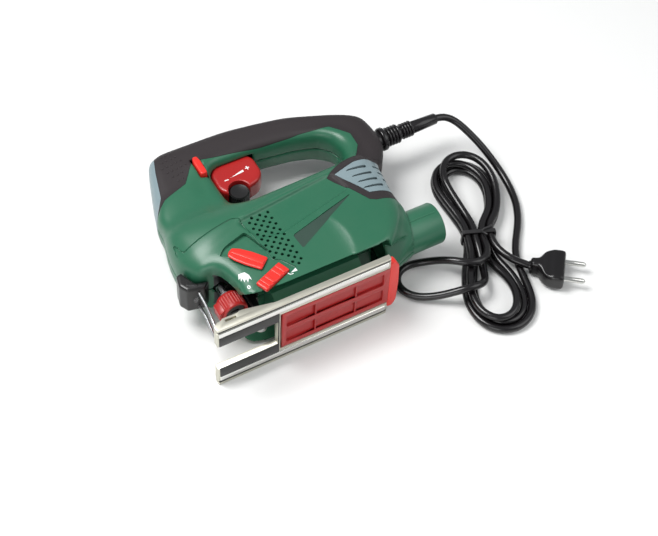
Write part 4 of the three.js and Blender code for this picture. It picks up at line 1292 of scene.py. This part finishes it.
# The tray takes a deeper red than its cap: painted shade between the rails.
finish_piece(tray, "blade_drawer_tray", DEEP_RED, "blade_depot", ["blade_depot"])
CAP = [(163.4, 8), (168.5, 8), (172, 14), (173, MID), (172, WIDTH - 14), (168.5, WIDTH - 8),
       (163.4, WIDTH - 8)]
cap = soften(prism("cap", rounded(CAP, 2), 0.4, 8, "y"), 0.8, 3)
grip_bar = seed_shape("grip", rod("grip", (0, 0, 0), 0.7, -2.6, 2.6, "y", 10))
add(cap, on_points("grips", grip_bar, [(172.4, 4.2, MID + 3.2 * i) for i in range(-4, 5)]))
drop(grip_bar)
finish_piece(cap, "blade_drawer_cap", RED, "blade_depot")

# %% [markdown]
# ## Blade clamp, guard and dust port
# A red collar turns round the steel clamp to free the blade. Its rim is knurled and one wing
# sticks out for the finger. A bent wire keeps fingers from the blade, and the dust port is a
# plain socket with a rounded lip and two mould lines.

# %% Collar and guard
collar = lathe("collar", [(35.5, 0), (35.5, 10.8), (36.2, 11.5), (50.6, 11.5), (51.8, 10.6),
                          (52, 0)], (ROD_X, 0, MID), "y", 64)
wing = soften(prism("wing", [(25.5, 30), (20.4, 32.4), (19.7, 42), (25, 45)], 37, 49, "y"), 0.9, 3)
knurl = seed_shape("knurl", rod("knurl", (0, 0, 0), 0.6, -5.6, 5.6, "y", 8))
around = [(ROD_X + 11.3 * c, 43.6, MID + 11.3 * s) for c, s in ring_of_points(28)]
add(collar, wing, on_points("knurls", knurl, around))
drop(knurl)
cut(collar, rod("bore", (ROD_X, 0, MID), 9.4, 30, 60, "y", 48))
finish_piece(collar, "clamp_collar_ring", DEEP_RED, "clamp_collar", ["clamp_collar"])
half_wire = [(13.6, 62.2, -9), (13, 48, -9), (10.5, 30, -9), (10, 24.5, -8), (10, 22, -4)]
wire = np.array(half_wire + [(x, y, -z) for x, y, z in half_wire[::-1]]) + np.array((0, 0, MID))
guard = tube("guard", smooth_line(wire, 1.2, 4), 1.2, 14)
finish_piece(guard, "wire_guard_rod", STEEL, "housing", ["wire_guard"])

# %% Dust port
port = lathe("port", [(178, 0), (178, PORT_OUTER), (234.6, PORT_OUTER), (235.7, PORT_OUTER - 0.7),
                      (236, PORT_OUTER - 1.4), (236, 0)], (0, PORT_Y, MID), "x", 72)
lines = [tube("line", [(x, PORT_Y + (PORT_OUTER - 0.1) * math.cos(a), MID + (PORT_OUTER - 0.1)
                        * math.sin(a)) for x in np.linspace(204, 232, 5)], 0.7, 8)
         for a in (math.radians(97), math.radians(-97))]
add(port, *lines)
cut(port, lathe("bore", [(170, 0), (170, PORT_INNER - 0.4), (235, PORT_INNER),
                         (237, PORT_INNER + 0.8), (237, 0)], (0, PORT_Y, MID), "x", 64))
finish_piece(port, "dust_port_socket", GREEN, "housing", ["dust_port"])

# %% Screws in the right half, with a cross recess
head = lathe("head", [(0.7, 0), (0.7, 2.6), (1.2, 3.6), (2.4, 3.7), (3.4, 1.9), (9, 1.8), (9, 0)],
             (0, 0, 0), "z", 32)
cut(head, block("cross", -2, 2, -0.4, 0.4, -1, 2.2), block("cross", -0.4, 0.4, -2, 2, -1, 2.2))
seed_shape("head", head)
screws = on_points("screws", head, [(x, y, WIDTH - surface_height(x, y)) for x, y in SCREWS],
                   [(0, 0, 0.4 + i * 1.1) for i in range(4)])
drop(head)
finish_piece(screws, "housing_screws", DARK_STEEL, "housing",
             [f"housing_screw_{i}" for i in (1, 2, 3, 4)], 30)

# %% [markdown]
# ## The cord and what is on it
# The whole lead is one curve with a round bevel, so it bends evenly and stays 7 mm thick. Its
# sleeve is turned on a lathe with bellows rings, the tie is a flat strap, and the plug is a
# moulded body with two plated pins.

# %% The lead itself


def make_cord():
    data = bpy.data.curves.new("mains_lead", "CURVE")
    data.dimensions, data.bevel_depth, data.bevel_resolution = "3D", CORD_RADIUS / 1000, 4
    data.use_fill_caps = True
    spline = data.splines.new("POLY")
    spline.points.add(len(cord_line) - 1)
    places = np.column_stack([cord_line / 1000, np.ones(len(cord_line))])
    spline.points.foreach_set("co", places.ravel())
    spline.use_smooth = True
    obj = bpy.data.objects.new("mains_lead", data)
    bpy.context.collection.objects.link(obj)
    data.materials.append(CORD_RUBBER)
    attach(obj, "housing")
    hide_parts("cord_lead", "cord_loop", "cord_tail", "cord_hank")
    return obj


mains_lead = make_cord()


# %% Sleeve with bellows
rings = []
for start, pitch, radius in ((249.5, 3.15, 9.2), (265, 2.9, 7.6)):
    for i in range(4):
        x = start + i * pitch
        rings += [(x, radius - 2), (x + 0.25 * pitch, radius - 0.3), (x + 0.5 * pitch, radius),
                  (x + 0.75 * pitch, radius - 0.3), (x + 0.97 * pitch, radius - 2)]
    rings.append((x + pitch + 0.6, radius - 2))
sleeve = lathe("sleeve", [(236, 0), (236, 8), (242.2, 8), (242.6, 10.4), (243.6, 11), (246.6, 11),
                          (247.6, 10.2), (248.4, 7.4), *rings, (278, 6), (302.4, 5.2), (303.2, 4.6),
                          (303.2, 0)], (0, 151, MID), "x", 64)
finish_piece(sleeve, "cord_sleeve", CORD_RUBBER, "housing", ["cord_boot"], 50)

# %% Tie


def at_waist(obj):
    place = Matrix.Translation((WAIST[0] / 1000, WAIST[1] / 1000, 0))
    obj.data.transform(place @ Matrix.Rotation(WAIST_TURN, 4, "Z"))
    return obj


def strap(half, low, high, width):
    outline = [(-half, low), (-half, high), (half, high), (half, low)]
    return prism("strap", rounded(outline, 2.6), -width, width, "y", bench=False)


tie = cut(strap(15.6, 0.4, 17.3, 1.9), strap(14.6, 1.5, 16.2, 9))
TWISTS = ([(2, 0, 16.8), (5, 1.5, 18.3), (9, 2.5, 18.8), (12, 5, 18.6)],
          [(2, 0, 16.8), (3, -3, 18.4), (6, -6, 18.9)])
add(tie, *[tube("twist", bend, 1.0, 10, bench=False) for bend in TWISTS])
finish_piece(at_waist(tie), "cord_wrap_tie", TIE_PLASTIC, "housing", ["cord_tie"])

# %% Plug: drawn with its cable end at zero and its pins along +X, then laid in place
PLUG_AT, PLUG_TURN = (0.1785, -0.13, 0.0096), math.radians(-38)
PLUG_PLACE = (Matrix.Translation(PLUG_AT) @ Matrix.Rotation(PLUG_TURN, 4, "Z")
              @ Matrix.Translation(Vector(BENCH / 1000)))


def on_plug(obj):
    obj.data.transform(PLUG_PLACE)
    return obj


PLUG_SIDE = [(0, -4.6), (7, -5.2), (13, -14), (20, -17.3), (28, -17.5), (31, -16.4), (31, 16.4),
             (28, 17.5), (20, 17.3), (13, 14), (7, 5.2), (0, 4.6)]


def finger_waist(x, _, z):
    return np.hypot(x - 16, np.abs(z) - 17) - 9.6


plug = rounded_slab("plug", PLUG_SIDE, -8.7, 8.7, 2.5, 4.5, 0.7, finger_waist)
add(plug, lathe("neck", [(-1, 0), (-1, 4.3), (1.5, 4.7), (2.5, 4.2), (3.5, 4.9), (4.5, 4.4),
                         (5.5, 5.1), (9, 5.4), (9, 0)], (0, 0, 0), "x", 32))
on_plug(plug)
finish_piece(plug, "plug_moulding", CORD_RUBBER, "housing", ["plug_body"], 45)
for name, y, node_name in (("upper", 9.5, "upper_plug_pin"), ("lower", -9.5, "lower_plug_pin")):
    pin = lathe("pin", [(30.5, 0), (30.5, 2.4), (47.6, 2.4), (49.2, 1.7), (50, 0.6), (50, 0)],
                (0, y, 0), "x", 32)
    finish_piece(on_plug(pin), f"{name}_contact_pin", PLATED, "housing", [node_name])

# %% [markdown]
# ## What stays as the mechanical model has it
# The running gear is inside the shell, and shows only through slots and in cut-away views. Its
# shapes are right already, so each part keeps them and takes a real finish.

# %% Finishes of the inner parts
INNER = {
    STEEL: ["armature_shaft", "armature_core", "front_bearing", "rear_bearing", "stroke_rod",
            "base_screw", "guide_roller", "gear_axle"],
    DARK_STEEL: ["drive_gear", "crank_roller", "blade_clamp", "stator_core", "orbit_fork",
                 "base_clamp"],
    ALUMINIUM: ["gear_case"],
    BRASS: ["upper_rod_bush", "lower_rod_bush", "left_brush_holder", "right_brush_holder"],
    COPPER: ["commutator", "upper_field_winding", "lower_field_winding"],
    CARBON: ["left_carbon_brush", "right_carbon_brush"],
    BLACK_PLASTIC: ["cooling_fan", "switch_module"],
    CIRCUIT: ["control_board"],
    GREEN: ["tilt_foot"],
    LENS: ["work_light"],
}
for finish, names in INNER.items():
    for name in names:
        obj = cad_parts[name]
        obj.data.materials.clear()
        obj.data.materials.append(finish)
print("inner parts:", sum(map(len, INNER.values())))

# %% Floor and light
AIM_LIGHT = Vector((0, 0, 0.03))


def stage():
    floor = piece("table_top", [(-3000, -3000, -0.4), (3000, -3000, -0.4), (3000, 3000, -0.4),
                                (-3000, 3000, -0.4)], [(0, 1, 2, 3)], bench=False)
    floor.data.materials.append(plastic("table_paper", (0.78, 0.78, 0.77, 1), rough=0.7, dust=0.0))
    world = bpy.data.worlds.new("studio")
    bpy.context.scene.world = world
    world.use_nodes = True
    world.node_tree.nodes["Background"].inputs["Color"].default_value = (0.9, 0.93, 0.96, 1)
    world.node_tree.nodes["Background"].inputs["Strength"].default_value = 0.4
    for name, place, size, power in (("key", (-0.5, 0.35, 1.3), 0.7, 22),
                                     ("fill", (0.9, -0.7, 1.1), 1.2, 8),
                                     ("front", (-0.9, -0.9, 0.5), 0.8, 5)):
        data = bpy.data.lights.new(name, "AREA")
        data.energy, data.size = power, size
        light = bpy.data.objects.new(name, data)
        bpy.context.collection.objects.link(light)
        light.location = place
        toward = AIM_LIGHT - Vector(place)
        light.rotation_euler = toward.to_track_quat("-Z", "Y").to_euler()
    bpy.context.scene.view_settings.view_transform = "Standard"


stage()
